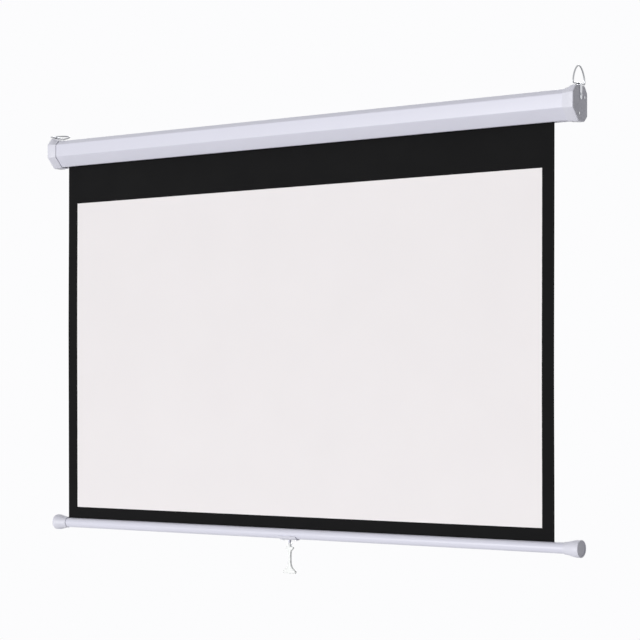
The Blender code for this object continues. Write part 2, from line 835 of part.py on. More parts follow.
def pawl_pivot(angle):
    """Pivot of the pawl whose nose meets the ratchet at the given angle round the roller."""
    turn = angle - PAWL_PIVOT_LAG
    return (
        ROLLER_AXIS_Y + PAWL_PIVOT_RADIUS * cos(turn),
        ROLLER_AXIS_Z + PAWL_PIVOT_RADIUS * sin(turn),
    )


def make_roller_plugs():
    """Drive plug on the left with its pawl pins, idler plug and pin on the right."""
    axis = (0.0, ROLLER_AXIS_Y, ROLLER_AXIS_Z)
    inner_end = ROLLER_END_X - PLUG_LENGTH
    bore = SPINDLE_RADIUS + FIT
    drive = turned("drive_plug", plug_profile(bore, inner_end, -1.0), "nylon", axis, closed=True)
    combine(drive, key_slot("drive_plug_key", -ROLLER_END_X - 0.5 * FIT, CUT_SPARE - inner_end))
    for name, angle in (("upper", 0.5 * pi), ("lower", 1.5 * pi)):
        y, z = pawl_pivot(angle)
        hole = rod_tool(
            f"drive_plug_{name}_pin_hole",
            PAWL_PIN_RADIUS + FIT,
            PLUG_FLANGE_LENGTH * 1.6,
            (-FLANGE_END_X, y, z),
            across(-1.0),
        )
        combine(drive, hole)
        make_pawl_pin(f"pawl_pin_{name}", y, z)

    pin_end = FLANGE_END_X - 0.75 * (FLANGE_END_X - inner_end)
    hole = IDLER_PIN_RADIUS + FIT
    profile = [(pin_end - FIT, 0.0), (pin_end - FIT, hole)]
    profile += plug_profile(hole, inner_end, 1.0)[:-1] + [(inner_end, 0.0)]
    idler = turned("idler_plug", profile, "nylon", axis)
    combine(idler, key_slot("idler_plug_key", inner_end - CUT_SPARE, ROLLER_END_X + 0.5 * FIT))
    tip = BRACKET_X + BRACKET_THICKNESS + IDLER_PIN_REACH
    chamfer = 0.25 * IDLER_PIN_RADIUS
    turned(
        "idler_pin",
        [
            (tip, 0.0),
            (tip, IDLER_PIN_RADIUS - chamfer),
            (tip - chamfer, IDLER_PIN_RADIUS),
            (pin_end, IDLER_PIN_RADIUS),
            (pin_end, 0.0),
        ],
        "zinc_steel",
        axis,
    )


def make_pawl_pin(name, y, z):
    """Shouldered pin that a pawl swings on, pressed into the drive plug's flange."""
    root = FLANGE_END_X - 0.7 * PLUG_FLANGE_LENGTH
    seat = FLANGE_END_X + 2.0 * FIT + PAWL_THICKNESS + FIT
    end = seat + PAWL_PIN_HEAD
    profile = [
        (-root, 0.0),
        (-root, PAWL_PIN_RADIUS),
        (-seat, PAWL_PIN_RADIUS),
        (-seat, PAWL_PIN_HEAD_RADIUS),
        (-end, PAWL_PIN_HEAD_RADIUS),
        (-end, 0.0),
    ]
    turned(name, profile, "zinc_steel", (0.0, y, z), steps=SMALL_STEPS)


def make_pawl(name, angle):
    """Pawl, drawn lifted clear of the ratchet, with its nose ahead of its pivot."""
    y, z = pawl_pivot(angle)
    reach = Vector((PAWL_REACH, 0.0))
    ratio = asin((PAWL_BOSS_RADIUS - PAWL_TIP_RADIUS) / PAWL_REACH)
    tip = arc(reach, PAWL_TIP_RADIUS, -0.5 * pi + ratio, 0.5 * pi - ratio, 6)
    boss = arc((0.0, 0.0), PAWL_BOSS_RADIUS, 0.5 * pi - ratio, 1.5 * pi + ratio, 12)
    hole = arc((0.0, 0.0), PAWL_PIN_RADIUS + FIT, 0.0, 2.0 * pi, 12)[:-1]
    heading = angle + 0.5 * pi - PAWL_LIFT
    turn_cos = cos(heading)
    turn_sin = sin(heading)
    outlines = [
        [(a * turn_cos - b * turn_sin, a * turn_sin + b * turn_cos) for a, b in line]
        for line in (tip + boss, hole)
    ]
    middle = FLANGE_END_X + 2.0 * FIT + 0.5 * PAWL_THICKNESS
    slab(name, outlines, PAWL_THICKNESS, (-middle, y, z), ALONG_X, "zinc_steel")


def make_ratchet_wheel():
    """Two notched wheel keyed on the spindle's tang."""
    floor = RATCHET_NOTCH_FLOOR
    lead = RATCHET_NOTCH_LEAD
    ramp_end = atan2(-sqrt(RATCHET_RADIUS**2 - floor**2), floor)
    lead_end = asin(lead / RATCHET_RADIUS)
    outline = []
    for nose in (0.5 * pi, 1.5 * pi):
        outline.append(
            (floor * cos(nose) - lead * sin(nose), floor * sin(nose) + lead * cos(nose))
        )
        outline += arc(
            (0.0, 0.0), RATCHET_RADIUS, nose + lead_end, nose + pi + ramp_end, SMALL_STEPS
        )
    across_flats = 0.5 * TANG_THICKNESS + FIT
    lean = asin(across_flats / (SPINDLE_RADIUS + FIT))
    bore = arc((0.0, 0.0), SPINDLE_RADIUS + FIT, 0.5 * pi - lean, 0.5 * pi + lean, 4)
    bore += arc((0.0, 0.0), SPINDLE_RADIUS + FIT, 1.5 * pi - lean, 1.5 * pi + lean, 4)
    middle = FLANGE_END_X + RATCHET_GAP + 0.5 * RATCHET_THICKNESS
    slab(
        "ratchet_wheel",
        [outline, bore],
        RATCHET_THICKNESS,
        (-middle, ROLLER_AXIS_Y, ROLLER_AXIS_Z),
        ALONG_X,
        "zinc_steel",
    )


def make_spindle():
    """Fixed rod with a flat tang for the slotted bracket and an arbor for the spring."""
    tang_tip = BRACKET_X + BRACKET_THICKNESS + TANG_REACH
    tang_root = FLANGE_END_X + FIT
    arbor = ROLLER_END_X - PLUG_LENGTH - 2.0 * FIT
    nose = spring_start() - spring_length()
    far = nose - 0.6 * ANCHOR_LENGTH
    profile = [
        (-far, 0.0),
        (-far, SPINDLE_RADIUS),
        (-arbor + ARBOR_LENGTH, SPINDLE_RADIUS),
        (-arbor + ARBOR_LENGTH, ARBOR_RADIUS),
        (-arbor, ARBOR_RADIUS),
        (-arbor, SPINDLE_RADIUS),
        (-tang_tip, SPINDLE_RADIUS),
        (-tang_tip, 0.0),
    ]
    axis = (0.0, ROLLER_AXIS_Y, ROLLER_AXIS_Z)
    spindle = turned("spindle", profile, "zinc_steel", axis)
    for number, side in enumerate((-1.0, 1.0), 1):
        near = ROLLER_AXIS_Y + side * 0.5 * TANG_THICKNESS
        far_side = ROLLER_AXIS_Y + side * 2.0 * SPINDLE_RADIUS
        flat = box_tool(
            f"spindle_flat_{number}",
            (-tang_tip - CUT_SPARE, min(near, far_side), ROLLER_AXIS_Z - 2.0 * SPINDLE_RADIUS),
            (-tang_root, max(near, far_side), ROLLER_AXIS_Z + 2.0 * SPINDLE_RADIUS),
        )
        combine(spindle, flat)
    smooth(spindle)


def spring_start():
    """Distance from the middle of the screen to the spring's first turn."""
    return ROLLER_END_X - PLUG_LENGTH - 2.0 * FIT - 2.0 * SPRING_WIRE_RADIUS


def spring_length():
    """Length of the wound spring along the roller."""
    return SPRING_TURNS * SPRING_PITCH


def make_torsion_spring():
    """Helical torsion spring round the spindle, from its arbor to the roller's anchor."""
    per_turn = 8
    radius = (ARBOR_RADIUS + FIT + SPRING_WIRE_RADIUS) / cos(pi / per_turn)
    points = []
    for i in range(SPRING_TURNS * per_turn + 1):
        turn = 2.0 * pi * i / per_turn
        points.append(
            (
                -spring_start() + SPRING_PITCH * i / per_turn,
                ROLLER_AXIS_Y + radius * cos(turn),
                ROLLER_AXIS_Z + radius * sin(turn),
            )
        )
    print(f"torsion spring: least gap {1000.0 * (SPRING_PITCH - 2.0 * SPRING_WIRE_RADIUS):.2f} mm")
    wire("torsion_spring", points, SPRING_WIRE_RADIUS, "spring_steel", resolution=1)


def make_spring_anchor():
    """Plug keyed in the tube that holds the spring's inner end and guides the spindle."""
    start = -spring_start() + spring_length() + 2.0 * SPRING_WIRE_RADIUS
    nose = start - 0.6 * ARBOR_LENGTH
    end = start + ANCHOR_LENGTH
    bore = SPINDLE_RADIUS + FIT
    profile = [
        (end, bore),
        (end, ROLLER_RADIUS - ROLLER_WALL - FIT),
        (start, ROLLER_RADIUS - ROLLER_WALL - FIT),
        (start, ARBOR_RADIUS),
        (nose, ARBOR_RADIUS),
        (nose, bore),
    ]
    axis = (0.0, ROLLER_AXIS_Y, ROLLER_AXIS_Z)
    anchor = turned("spring_anchor", profile, "nylon", axis, closed=True)
    combine(anchor, key_slot("spring_anchor_key", start - CUT_SPARE, end + CUT_SPARE))


def make_sheet():
    """Wraps left on the roller, the hanging sheet with its hem, and its black mask."""
    steps = ceil(WRAP_TURNS * FINE_STEPS)
    wraps = []
    for i in range(steps + 1):
        share = i / steps
        radius = WRAP_START_RADIUS + WRAP_TURNS * WRAP_PITCH * share
        turn = 2.0 * pi * WRAP_TURNS * (1.0 - share)
        wraps.append((radius * cos(turn), radius * sin(turn)))
    axis = (SHEET_OFFSET, ROLLER_AXIS_Y, ROLLER_AXIS_Z)
    ribbon("sheet_wraps", wraps, SHEET_WIDTH, SHEET_THICKNESS, "white_sheet", axis)

    hem_radius = HEM_ROD_RADIUS + FIT + 0.5 * SHEET_THICKNESS
    hem_z = BATTEN_Z + HEM_SINK
    closing = acos((hem_radius - SHEET_THICKNESS - FIT) / hem_radius)
    centre = (SHEET_Y - hem_radius, hem_z)
    path = [(SHEET_Y, ROLLER_AXIS_Z - FIT)]
    path += arc(centre, hem_radius, 0.0, -2.0 * pi + closing, FINE_STEPS // 2)
    middle = (SHEET_OFFSET, 0.0, 0.0)
    ribbon("viewing_sheet", path, SHEET_WIDTH, SHEET_THICKNESS, "white_sheet", middle)
    rod = [(0.5 * SHEET_WIDTH, 0.0), (0.5 * SHEET_WIDTH, HEM_ROD_RADIUS)]
    rod += [(-0.5 * SHEET_WIDTH, HEM_ROD_RADIUS), (-0.5 * SHEET_WIDTH, 0.0)]
    turned("hem_rod", rod, "nylon", (SHEET_OFFSET, *centre), steps=SMALL_STEPS)

    top = ROLLER_AXIS_Z - ROLLER_RADIUS
    bottom = BATTEN_TOP_Z + FIT
    half = 0.5 * SHEET_WIDTH
    inner = 0.5 * PICTURE_WIDTH
    frame = [(-half, bottom), (half, bottom), (half, top), (-half, top)]
    window = [
        (-inner, PICTURE_BOTTOM_Z),
        (inner, PICTURE_BOTTOM_Z),
        (inner, PICTURE_TOP_Z),
        (-inner, PICTURE_TOP_Z),
    ]
    slab(
        "black_masking",
        [frame, window],
        MASK_THICKNESS,
        (SHEET_OFFSET, MASK_Y, 0.0),
        (0.5 * pi, 0.0, 0.0),
        "black_mask",
    )


def batten_cap_radius(share):
    """Outer radius of the bell shaped batten cap, from its mouth (0) to its end (1)."""
    mouth = BATTEN_RADIUS + FIT + BATTEN_CAP_WALL
    swell = 0.5 - 0.5 * cos(pi * min(1.0, share / 0.85))
    return mouth + (BATTEN_CAP_RADIUS - mouth) * swell


def make_batten():
    """Slotted round tube at the foot of the sheet with a bell shaped cap on each end."""
    mid = BATTEN_RADIUS - 0.5 * BATTEN_WALL
    lean = asin((0.5 * BATTEN_SLOT + 0.5 * BATTEN_WALL) / mid)
    path = arc((0.0, 0.0), mid, 0.5 * pi + lean, 2.5 * pi - lean, FINE_STEPS)
    half = BATTEN_END_X - BATTEN_CAP_LENGTH + BATTEN_CAP_LAP
    centre = (0.0, SHEET_Y, BATTEN_Z)
    tube = ribbon("batten_tube", path, 2.0 * half, BATTEN_WALL, "white_coated_steel", centre)
    for number, x in enumerate(SADDLE_SCREW_PLACES, 1):
        hole = rod_tool(
            f"batten_tube_hole_{number}",
            SCREW_RADIUS + SCREW_HOLE_PLAY,
            BATTEN_RADIUS,
            (x, SHEET_Y, BATTEN_Z - BATTEN_RADIUS),
            (0.0, 0.0, 0.0),
        )
        combine(tube, hole)

    for name, side in (("batten_cap_left", -1.0), ("batten_cap_right", 1.0)):
        mouth = BATTEN_END_X - BATTEN_CAP_LENGTH
        edge = BATTEN_CAP_EDGE
        steps = 8
        flare = [
            (mouth + (BATTEN_CAP_LENGTH - edge) * i / steps, batten_cap_radius(i / steps))
            for i in range(steps + 1)
        ]
        rim = BATTEN_CAP_RADIUS - BATTEN_CAP_RIM
        bore = BATTEN_RADIUS + FIT
        hollow = BATTEN_RADIUS - BATTEN_WALL
        face = [
            (BATTEN_END_X - BATTEN_CAP_RECESS, 0.0),
            (BATTEN_END_X - BATTEN_CAP_RECESS, rim - BATTEN_CAP_DRAFT),
            (BATTEN_END_X, rim),
            (BATTEN_END_X, BATTEN_CAP_RADIUS - edge),
            (BATTEN_END_X - 0.3 * edge, BATTEN_CAP_RADIUS - 0.3 * edge),
        ]
        socket = [
            (mouth, bore),
            (mouth + BATTEN_CAP_LAP + FIT, bore),
            (mouth + BATTEN_CAP_LAP + FIT, hollow),
            (BATTEN_END_X - BATTEN_CAP_RECESS - 2.0 * BATTEN_CAP_WALL, hollow),
            (BATTEN_END_X - BATTEN_CAP_RECESS - 2.0 * BATTEN_CAP_WALL, 0.0),
        ]
        profile = face + flare[::-1] + socket
        if side < 0.0:
            profile = [(-along, radius) for along, radius in reversed(profile)]
        cap = turned(name, profile, "pale_moulding", (0.0, SHEET_Y, BATTEN_Z), steps=FINE_STEPS)
        cap.modifiers["turn"].use_smooth_shade = True


def make_handle():
    """Saddle screwed under the batten, wire link and moulded pull handle."""
    mid = BATTEN_RADIUS + FIT + 0.5 * SADDLE_THICKNESS
    start = -0.5 * pi - SADDLE_HALF_ANGLE
    path = arc((0.0, 0.0), mid, start, start + 2.0 * SADDLE_HALF_ANGLE, SMALL_STEPS)
    saddle = ribbon(
        "handle_saddle",
        path,
        SADDLE_LENGTH,
        SADDLE_THICKNESS,
        "pale_moulding",
        (SHEET_OFFSET, SHEET_Y, BATTEN_Z),
    )
    top = -LUG_Z + BATTEN_Z - BATTEN_RADIUS - FIT - 0.4 * SADDLE_THICKNESS
    lug_outline = arc((0.0, 0.0), LUG_RADIUS, pi, 2.0 * pi, SMALL_STEPS)
    lug_outline += [(LUG_RADIUS, top), (-LUG_RADIUS, top)]
    eye_at = (SHEET_OFFSET, SHEET_Y, LUG_Z)
    lug = slab("saddle_lug", [lug_outline], LUG_THICKNESS, eye_at, ALONG_X)
    combine(saddle, lug, "UNION")
    eye = rod_tool(
        "saddle_eye",
        LINK_WIRE_RADIUS + LINK_HOLE_PLAY,
        4.0 * LUG_THICKNESS,
        eye_at,
        across(1.0),
    )
    combine(saddle, eye)
    for number, x in enumerate(SADDLE_SCREW_PLACES, 1):
        hole = rod_tool(
            f"saddle_hole_{number}",
            SCREW_RADIUS + SCREW_HOLE_PLAY,
            4.0 * SADDLE_THICKNESS,
            (x, SHEET_Y, BATTEN_Z - mid),
            (0.0, 0.0, 0.0),
        )
        combine(saddle, hole)

    half = LINK_HALF_WIDTH
    corners = [
        (-half, LUG_Z),
        (half, LUG_Z),
        (half, HANDLE_Z),
        (-half, HANDLE_Z),
    ]
    path = rounded(corners, 2.0 * LINK_WIRE_RADIUS, 4)
    wire(
        "handle_link",
        [(SHEET_OFFSET + x, SHEET_Y, z) for x, z in path],
        LINK_WIRE_RADIUS,
        "zinc_steel",
        closed=True,
    )

    sides = 20

    def build(grid):
        rings = []
        for drop, half_width, half_depth in HANDLE_STATIONS:
            ring = []
            for i in range(sides):
                turn = 2.0 * pi * i / sides
                c = cos(turn)
                s = sin(turn)
                x = half_width * (abs(c) ** 0.7) * (1.0 if c > 0.0 else -1.0)
                y = half_depth * (abs(s) ** 0.7) * (1.0 if s > 0.0 else -1.0)
                ring.append(grid.verts.new((x, y, -drop)))
            rings.append(ring)
        for low, high in zip(rings, rings[1:]):
            for i in range(sides):
                grid.faces.new((low[i - 1], low[i], high[i], high[i - 1]))
        grid.faces.new(rings[0])
        grid.faces.new(rings[-1])
        bmesh.ops.recalc_face_normals(grid, faces=grid.faces)

    hung_at = (SHEET_OFFSET, SHEET_Y, HANDLE_Z)
    handle = place("pull_handle", mesh_from("pull_handle", build), "handle_moulding", hung_at)
    neck = HANDLE_STATIONS[1][0]
    outline = arc((0.0, 0.0), HANDLE_BARREL_RADIUS, 0.0, pi, SMALL_STEPS)
    outline += [(-0.75 * HANDLE_BARREL_RADIUS, -neck), (0.75 * HANDLE_BARREL_RADIUS, -neck)]
    barrel = slab("handle_barrel", [outline], HANDLE_BARREL_WIDTH, hung_at, ALONG_X)
    combine(handle, barrel, "UNION")
    eye = rod_tool(
        "handle_eye",
        LINK_WIRE_RADIUS + LINK_HOLE_PLAY,
        4.0 * HANDLE_BARREL_WIDTH,
        hung_at,
        across(1.0),
    )
    combine(handle, eye)
    smooth(handle, angle=0.9)


def ring_outline():
    """D ring centre line as (distance from its middle, height above its base bar)."""
    points = [(-RING_HALF_WIDTH + RING_CORNER, 0.0), (RING_HALF_WIDTH - RING_CORNER, 0.0)]
    points += arc(
        (RING_HALF_WIDTH - RING_CORNER, RING_CORNER), RING_CORNER, -0.5 * pi, 0.0, BEND_STEPS
    )[1:]
    steps = 20
    for i in range(1, steps):
        turn = pi * i / steps
        c = cos(turn)
        across_base = RING_HALF_WIDTH * abs(c) ** (2.0 / RING_POINT) * (1.0 if c > 0.0 else -1.0)
        rise = (RING_HEIGHT - RING_CORNER) * sin(turn) ** (2.0 / RING_POINT)
        points.append((across_base, RING_CORNER + rise))
    points += arc(
        (-RING_HALF_WIDTH + RING_CORNER, RING_CORNER), RING_CORNER, pi, 1.5 * pi, BEND_STEPS
    )[:-1]
    return points


def make_hanger(end, side):
    """D ring hinged in a steel strap that is screwed to the end cap."""
    x = side * (END_FACE_X - RING_INSET)
    inwards = -side * sin(RING_FOLDS[end])
    upwards = cos(RING_FOLDS[end])
    wire(
        f"d_ring_{end}",
        [
            (x + rise * inwards, RING_CENTRE_Y + base, RING_BASE_Z + rise * upwards)
            for base, rise in ring_outline()
        ],
        RING_WIRE_RADIUS,
        "nickel_wire",
        closed=True,
    )
    eye_radius = RING_WIRE_RADIUS + FIT + 0.5 * STRAP_THICKNESS
    out = RING_INSET + FIT + 0.5 * STRAP_THICKNESS
    top = RING_BASE_Z + eye_radius
    path = [(out, CAP_TOP_Z - STRAP_DROP), (out, top), (0.0, top)]
    path = rounded(path, STRAP_BEND, 4, closed=False)
    path += arc((0.0, RING_BASE_Z), eye_radius, 0.5 * pi, 1.85 * pi, SMALL_STEPS)[1:]

    def build(grid):
        low = []
        high = []
        for across_end, z in path:
            low.append(grid.verts.new((side * across_end, -0.5 * STRAP_WIDTH, z)))
            high.append(grid.verts.new((side * across_end, 0.5 * STRAP_WIDTH, z)))
        for i in range(1, len(path)):
            grid.faces.new((low[i - 1], low[i], high[i], high[i - 1]))
        foot = [
            grid.verts.new((side * out, a, CAP_TOP_Z - STRAP_DROP + b))
            for a, b in arc((0.0, 0.0), 0.5 * STRAP_WIDTH, pi, 2.0 * pi, 10)[1:-1]
        ]
        grid.faces.new([high[0], low[0]] + foot)
        bmesh.ops.recalc_face_normals(grid, faces=grid.faces)

    strap = place(
        f"hanger_strap_{end}",
        mesh_from(f"hanger_strap_{end}", build),
        "zinc_steel",
        (x, RING_CENTRE_Y, 0.0),
    )
    solidify(strap, STRAP_THICKNESS)
    screw_z = CAP_TOP_Z - STRAP_SCREW_DROP
    hole = rod_tool(
        f"hanger_strap_{end}_hole",
        SCREW_RADIUS + SCREW_HOLE_PLAY,
        4.0 * STRAP_THICKNESS,
        (side * END_FACE_X, RING_CENTRE_Y, screw_z),
        across(side),
    )
    combine(strap, hole)
    smooth(strap)
    seat = END_FACE_X + FIT + STRAP_THICKNESS
    make_screw(
        f"strap_screw_{end}",
        (side * seat, RING_CENTRE_Y, screw_z),
        across(side),
        STRAP_SCREW_LENGTH,
    )


def make_screw(name, seat, rotation, length):
    """Pan head screw whose head rests on the seat, pointing along its own Z."""
    head = FIT + SCREW_HEAD_HEIGHT
    profile = [
        (head, 0.0),
        (head, 0.65 * SCREW_HEAD_RADIUS),
        (FIT + 0.6 * SCREW_HEAD_HEIGHT, 0.93 * SCREW_HEAD_RADIUS),
        (FIT, SCREW_HEAD_RADIUS),
        (FIT, SCREW_RADIUS),
        (-length, SCREW_RADIUS),
        (-length, 0.0),
    ]
    turned(name, profile, "zinc_steel", seat, rotation, steps=SMALL_STEPS)


def make_screws():
    """Screws of the brackets, the casing and the saddle."""
    for end, side in (("left", -1.0), ("right", 1.0)):
        for number, (y, z) in enumerate(BOSS_PLACES, 1):
            seat = (side * END_FACE_X, y, z)
            make_screw(f"bracket_screw_{end}_{number}", seat, across(side), BRACKET_SCREW_LENGTH)
        for number, y in enumerate(CASING_SCREW_PLACES, 1):
            seat = (side * (CAP_MOUTH_X - CASING_SCREW_INSET), y, 0.5 * CASING_HEIGHT)
            make_screw(f"casing_screw_{end}_{number}", seat, (0.0, 0.0, 0.0), CASING_SCREW_LENGTH)
    for number, x in enumerate(SADDLE_SCREW_PLACES, 1):
        seat = (x, SHEET_Y, BATTEN_Z - BATTEN_RADIUS - FIT - SADDLE_THICKNESS)
        make_screw(f"saddle_screw_{number}", seat, (pi, 0.0, 0.0), SADDLE_SCREW_LENGTH)


def drill_casing(casing):
    """Holes in the casing's top for the screws into the end caps' spigots."""
    for end, side in (("left", -1.0), ("right", 1.0)):
        for number, y in enumerate(CASING_SCREW_PLACES, 1):
            hole = rod_tool(
                f"casing_hole_{end}_{number}",
                SCREW_RADIUS + SCREW_HOLE_PLAY,
                8.0 * CASING_WALL,
                (side * (CAP_MOUTH_X - CASING_SCREW_INSET), y, 0.5 * CASING_HEIGHT),
                (0.0, 0.0, 0.0),
            )
            combine(casing, hole)


def make_screen():
    """Build every piece of the screen."""
    drill_casing(make_casing())
    make_end_cap("end_cap_left", -1.0)
    make_end_cap("end_cap_right", 1.0)
    make_brackets()
    make_idler_bush()
    make_roller_tube()
    make_roller_plugs()
    make_spindle()
    make_ratchet_wheel()
    make_pawl("pawl_upper", 0.5 * pi)
    make_pawl("pawl_lower", 1.5 * pi)
    make_torsion_spring()
    make_spring_anchor()
    make_sheet()
    make_batten()
    make_handle()
    make_hanger("left", -1.0)
    make_hanger("right", 1.0)
    make_screws()


make_screen()
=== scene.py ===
"""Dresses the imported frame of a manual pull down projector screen.

The white screen hangs from a D ring on each end cap of its octagonal casing. A sheet with a black
border comes down from a spring roller, and a round batten with a pull handle keeps it flat. Each
sub-assembly is a class that holds its sizes in metres and makes and dresses its own pieces.
"""

from __future__ import annotations

import json
import logging
from collections.abc import Sequence
from dataclasses import dataclass, field, replace
from enum import Enum
from math import acos, asin, atan2, copysign, cos, pi, radians, sin, tan
from typing import Any

import bmesh
import bpy
from mathutils import Vector
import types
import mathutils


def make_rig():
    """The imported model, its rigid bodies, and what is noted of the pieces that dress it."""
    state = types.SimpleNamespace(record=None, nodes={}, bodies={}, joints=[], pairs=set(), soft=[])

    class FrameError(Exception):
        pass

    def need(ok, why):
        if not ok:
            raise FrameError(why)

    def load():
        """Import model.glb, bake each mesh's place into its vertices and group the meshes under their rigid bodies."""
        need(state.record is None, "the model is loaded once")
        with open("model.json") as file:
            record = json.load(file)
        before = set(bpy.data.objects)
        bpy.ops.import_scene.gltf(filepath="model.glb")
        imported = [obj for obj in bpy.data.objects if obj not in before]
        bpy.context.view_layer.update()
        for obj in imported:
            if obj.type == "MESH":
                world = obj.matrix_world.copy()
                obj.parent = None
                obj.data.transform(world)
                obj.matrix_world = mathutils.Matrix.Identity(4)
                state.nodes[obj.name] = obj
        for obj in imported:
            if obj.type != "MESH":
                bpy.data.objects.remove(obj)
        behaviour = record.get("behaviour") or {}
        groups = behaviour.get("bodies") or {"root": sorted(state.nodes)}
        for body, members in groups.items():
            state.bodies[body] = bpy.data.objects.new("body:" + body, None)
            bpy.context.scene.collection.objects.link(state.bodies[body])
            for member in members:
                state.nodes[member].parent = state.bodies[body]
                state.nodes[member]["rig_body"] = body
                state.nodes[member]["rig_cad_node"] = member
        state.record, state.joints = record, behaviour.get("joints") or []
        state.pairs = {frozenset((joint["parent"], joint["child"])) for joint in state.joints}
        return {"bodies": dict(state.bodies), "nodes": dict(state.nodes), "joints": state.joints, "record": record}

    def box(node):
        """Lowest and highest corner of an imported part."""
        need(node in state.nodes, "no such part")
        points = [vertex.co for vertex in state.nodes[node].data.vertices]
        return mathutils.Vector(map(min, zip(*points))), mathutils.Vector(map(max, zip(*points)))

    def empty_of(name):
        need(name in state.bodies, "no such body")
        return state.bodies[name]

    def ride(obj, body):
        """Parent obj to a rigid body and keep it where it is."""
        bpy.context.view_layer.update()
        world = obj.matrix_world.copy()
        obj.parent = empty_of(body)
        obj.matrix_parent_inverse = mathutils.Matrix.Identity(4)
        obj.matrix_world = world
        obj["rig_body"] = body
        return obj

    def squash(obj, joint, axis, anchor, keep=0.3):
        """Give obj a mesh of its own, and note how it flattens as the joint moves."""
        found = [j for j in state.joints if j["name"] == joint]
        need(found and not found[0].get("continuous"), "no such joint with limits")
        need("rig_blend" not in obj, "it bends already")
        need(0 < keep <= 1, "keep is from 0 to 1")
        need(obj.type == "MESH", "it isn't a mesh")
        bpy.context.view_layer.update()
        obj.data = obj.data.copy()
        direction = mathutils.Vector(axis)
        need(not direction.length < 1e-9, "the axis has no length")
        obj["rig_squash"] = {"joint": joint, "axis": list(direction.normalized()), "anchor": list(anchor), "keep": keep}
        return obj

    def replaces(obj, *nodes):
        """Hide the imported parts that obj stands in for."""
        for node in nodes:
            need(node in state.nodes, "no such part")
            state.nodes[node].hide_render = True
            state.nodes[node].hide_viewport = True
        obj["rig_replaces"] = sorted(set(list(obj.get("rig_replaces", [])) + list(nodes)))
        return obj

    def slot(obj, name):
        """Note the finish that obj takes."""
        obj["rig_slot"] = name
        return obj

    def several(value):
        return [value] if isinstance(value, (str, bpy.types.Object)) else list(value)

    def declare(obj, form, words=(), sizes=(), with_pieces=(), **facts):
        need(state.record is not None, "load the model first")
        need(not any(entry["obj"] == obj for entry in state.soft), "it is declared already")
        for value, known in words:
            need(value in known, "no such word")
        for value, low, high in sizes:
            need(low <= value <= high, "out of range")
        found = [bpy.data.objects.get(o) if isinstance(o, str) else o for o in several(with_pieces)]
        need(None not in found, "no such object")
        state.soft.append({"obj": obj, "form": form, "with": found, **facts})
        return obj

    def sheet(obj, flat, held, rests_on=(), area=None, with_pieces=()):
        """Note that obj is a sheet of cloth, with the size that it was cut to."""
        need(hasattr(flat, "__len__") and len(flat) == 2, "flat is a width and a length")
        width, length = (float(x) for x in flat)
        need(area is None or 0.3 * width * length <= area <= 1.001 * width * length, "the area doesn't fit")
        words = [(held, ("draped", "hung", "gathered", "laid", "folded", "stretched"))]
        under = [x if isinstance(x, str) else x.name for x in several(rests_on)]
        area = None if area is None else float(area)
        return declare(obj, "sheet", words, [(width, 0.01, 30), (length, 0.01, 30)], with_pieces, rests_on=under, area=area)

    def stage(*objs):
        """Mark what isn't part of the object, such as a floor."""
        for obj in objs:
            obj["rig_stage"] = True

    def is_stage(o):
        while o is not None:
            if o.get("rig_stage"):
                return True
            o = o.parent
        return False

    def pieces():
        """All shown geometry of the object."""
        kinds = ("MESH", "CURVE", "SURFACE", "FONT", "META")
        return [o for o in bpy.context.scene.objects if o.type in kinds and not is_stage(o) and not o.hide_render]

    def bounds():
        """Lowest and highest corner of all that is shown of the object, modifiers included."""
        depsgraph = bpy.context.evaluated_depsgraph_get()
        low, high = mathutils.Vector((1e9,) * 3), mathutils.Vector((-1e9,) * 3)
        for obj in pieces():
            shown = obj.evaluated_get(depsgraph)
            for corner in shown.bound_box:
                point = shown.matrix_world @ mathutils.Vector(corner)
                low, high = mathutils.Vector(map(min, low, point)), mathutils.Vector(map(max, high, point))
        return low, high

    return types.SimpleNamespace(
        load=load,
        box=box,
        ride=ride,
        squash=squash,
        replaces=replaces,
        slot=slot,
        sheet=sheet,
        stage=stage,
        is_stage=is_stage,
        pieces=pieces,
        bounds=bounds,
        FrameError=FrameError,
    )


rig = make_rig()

LOG = logging.getLogger("projector_screen")

Point2 = tuple[float, float]
Point3 = tuple[float, float, float]
Outline = Sequence[Point2]
Rows = Sequence[Sequence[Point3]]
Piece = bpy.types.Object
Grid = bmesh.types.BMesh
Tree = bpy.types.NodeTree
Node = bpy.types.Node
Socket = bpy.types.NodeSocket

QUARTER_TURN = 0.5 * pi
FULL_TURN = 2.0 * pi
MILLIMETRE = 0.001
# Play between two parts that fit together
FIT = 0.0003
# The sheet and its handle hang a little to the left of the casing's middle
SHEET_MIDDLE_X = -0.015
# How far a cutter along X stands out past what it cuts
CUTTER_REACH = 0.02
# In a bend a wire's section is widened, but never by more than one over this
LEAST_MITRE = 0.7
BEVEL_ANGLE = 0.6
BEVEL_STEPS = 2
SIZE_FILE = "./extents.json"
PICTURE_PIXELS = 640


class End(Enum):
    """The two ends of the screen, with the sign of X that each lies at."""

    LEFT = -1.0
    RIGHT = 1.0

    @property
    def label(self) -> str:
        """Give the end's name as the frame's nodes spell it."""
        return self.name.lower()


class Body(Enum):
    """The frame's bodies that the pieces ride on."""

    CASE = "hanging_case"
    BATTEN = "batten"
    LINK = "link"
    HANDLE = "handle"
    LEFT_RING = "left_ring"
    RIGHT_RING = "right_ring"


class Crease(Enum):
    """Kinds of piece by the angle in radians above which their edges stay sharp."""

    CRISP = 0.5
    END_CAP = 0.55
    PLAIN = 0.6
    CLOTH = 0.7
    ROLLED = 0.8
    WIRE = 0.9


class Skin(Enum):
    """How rows of points are joined to a surface."""

    SHEET = "open on all sides"
    SOLID = "closed round each row, with a face over both ends"
    TUBE = "closed round each row, open at both ends"
    RING = "closed round each row and from the last row to the first"


class Merge(Enum):
    """What a second solid does to a piece, in Blender's words."""

    CUT = "DIFFERENCE"
    JOIN = "UNION"


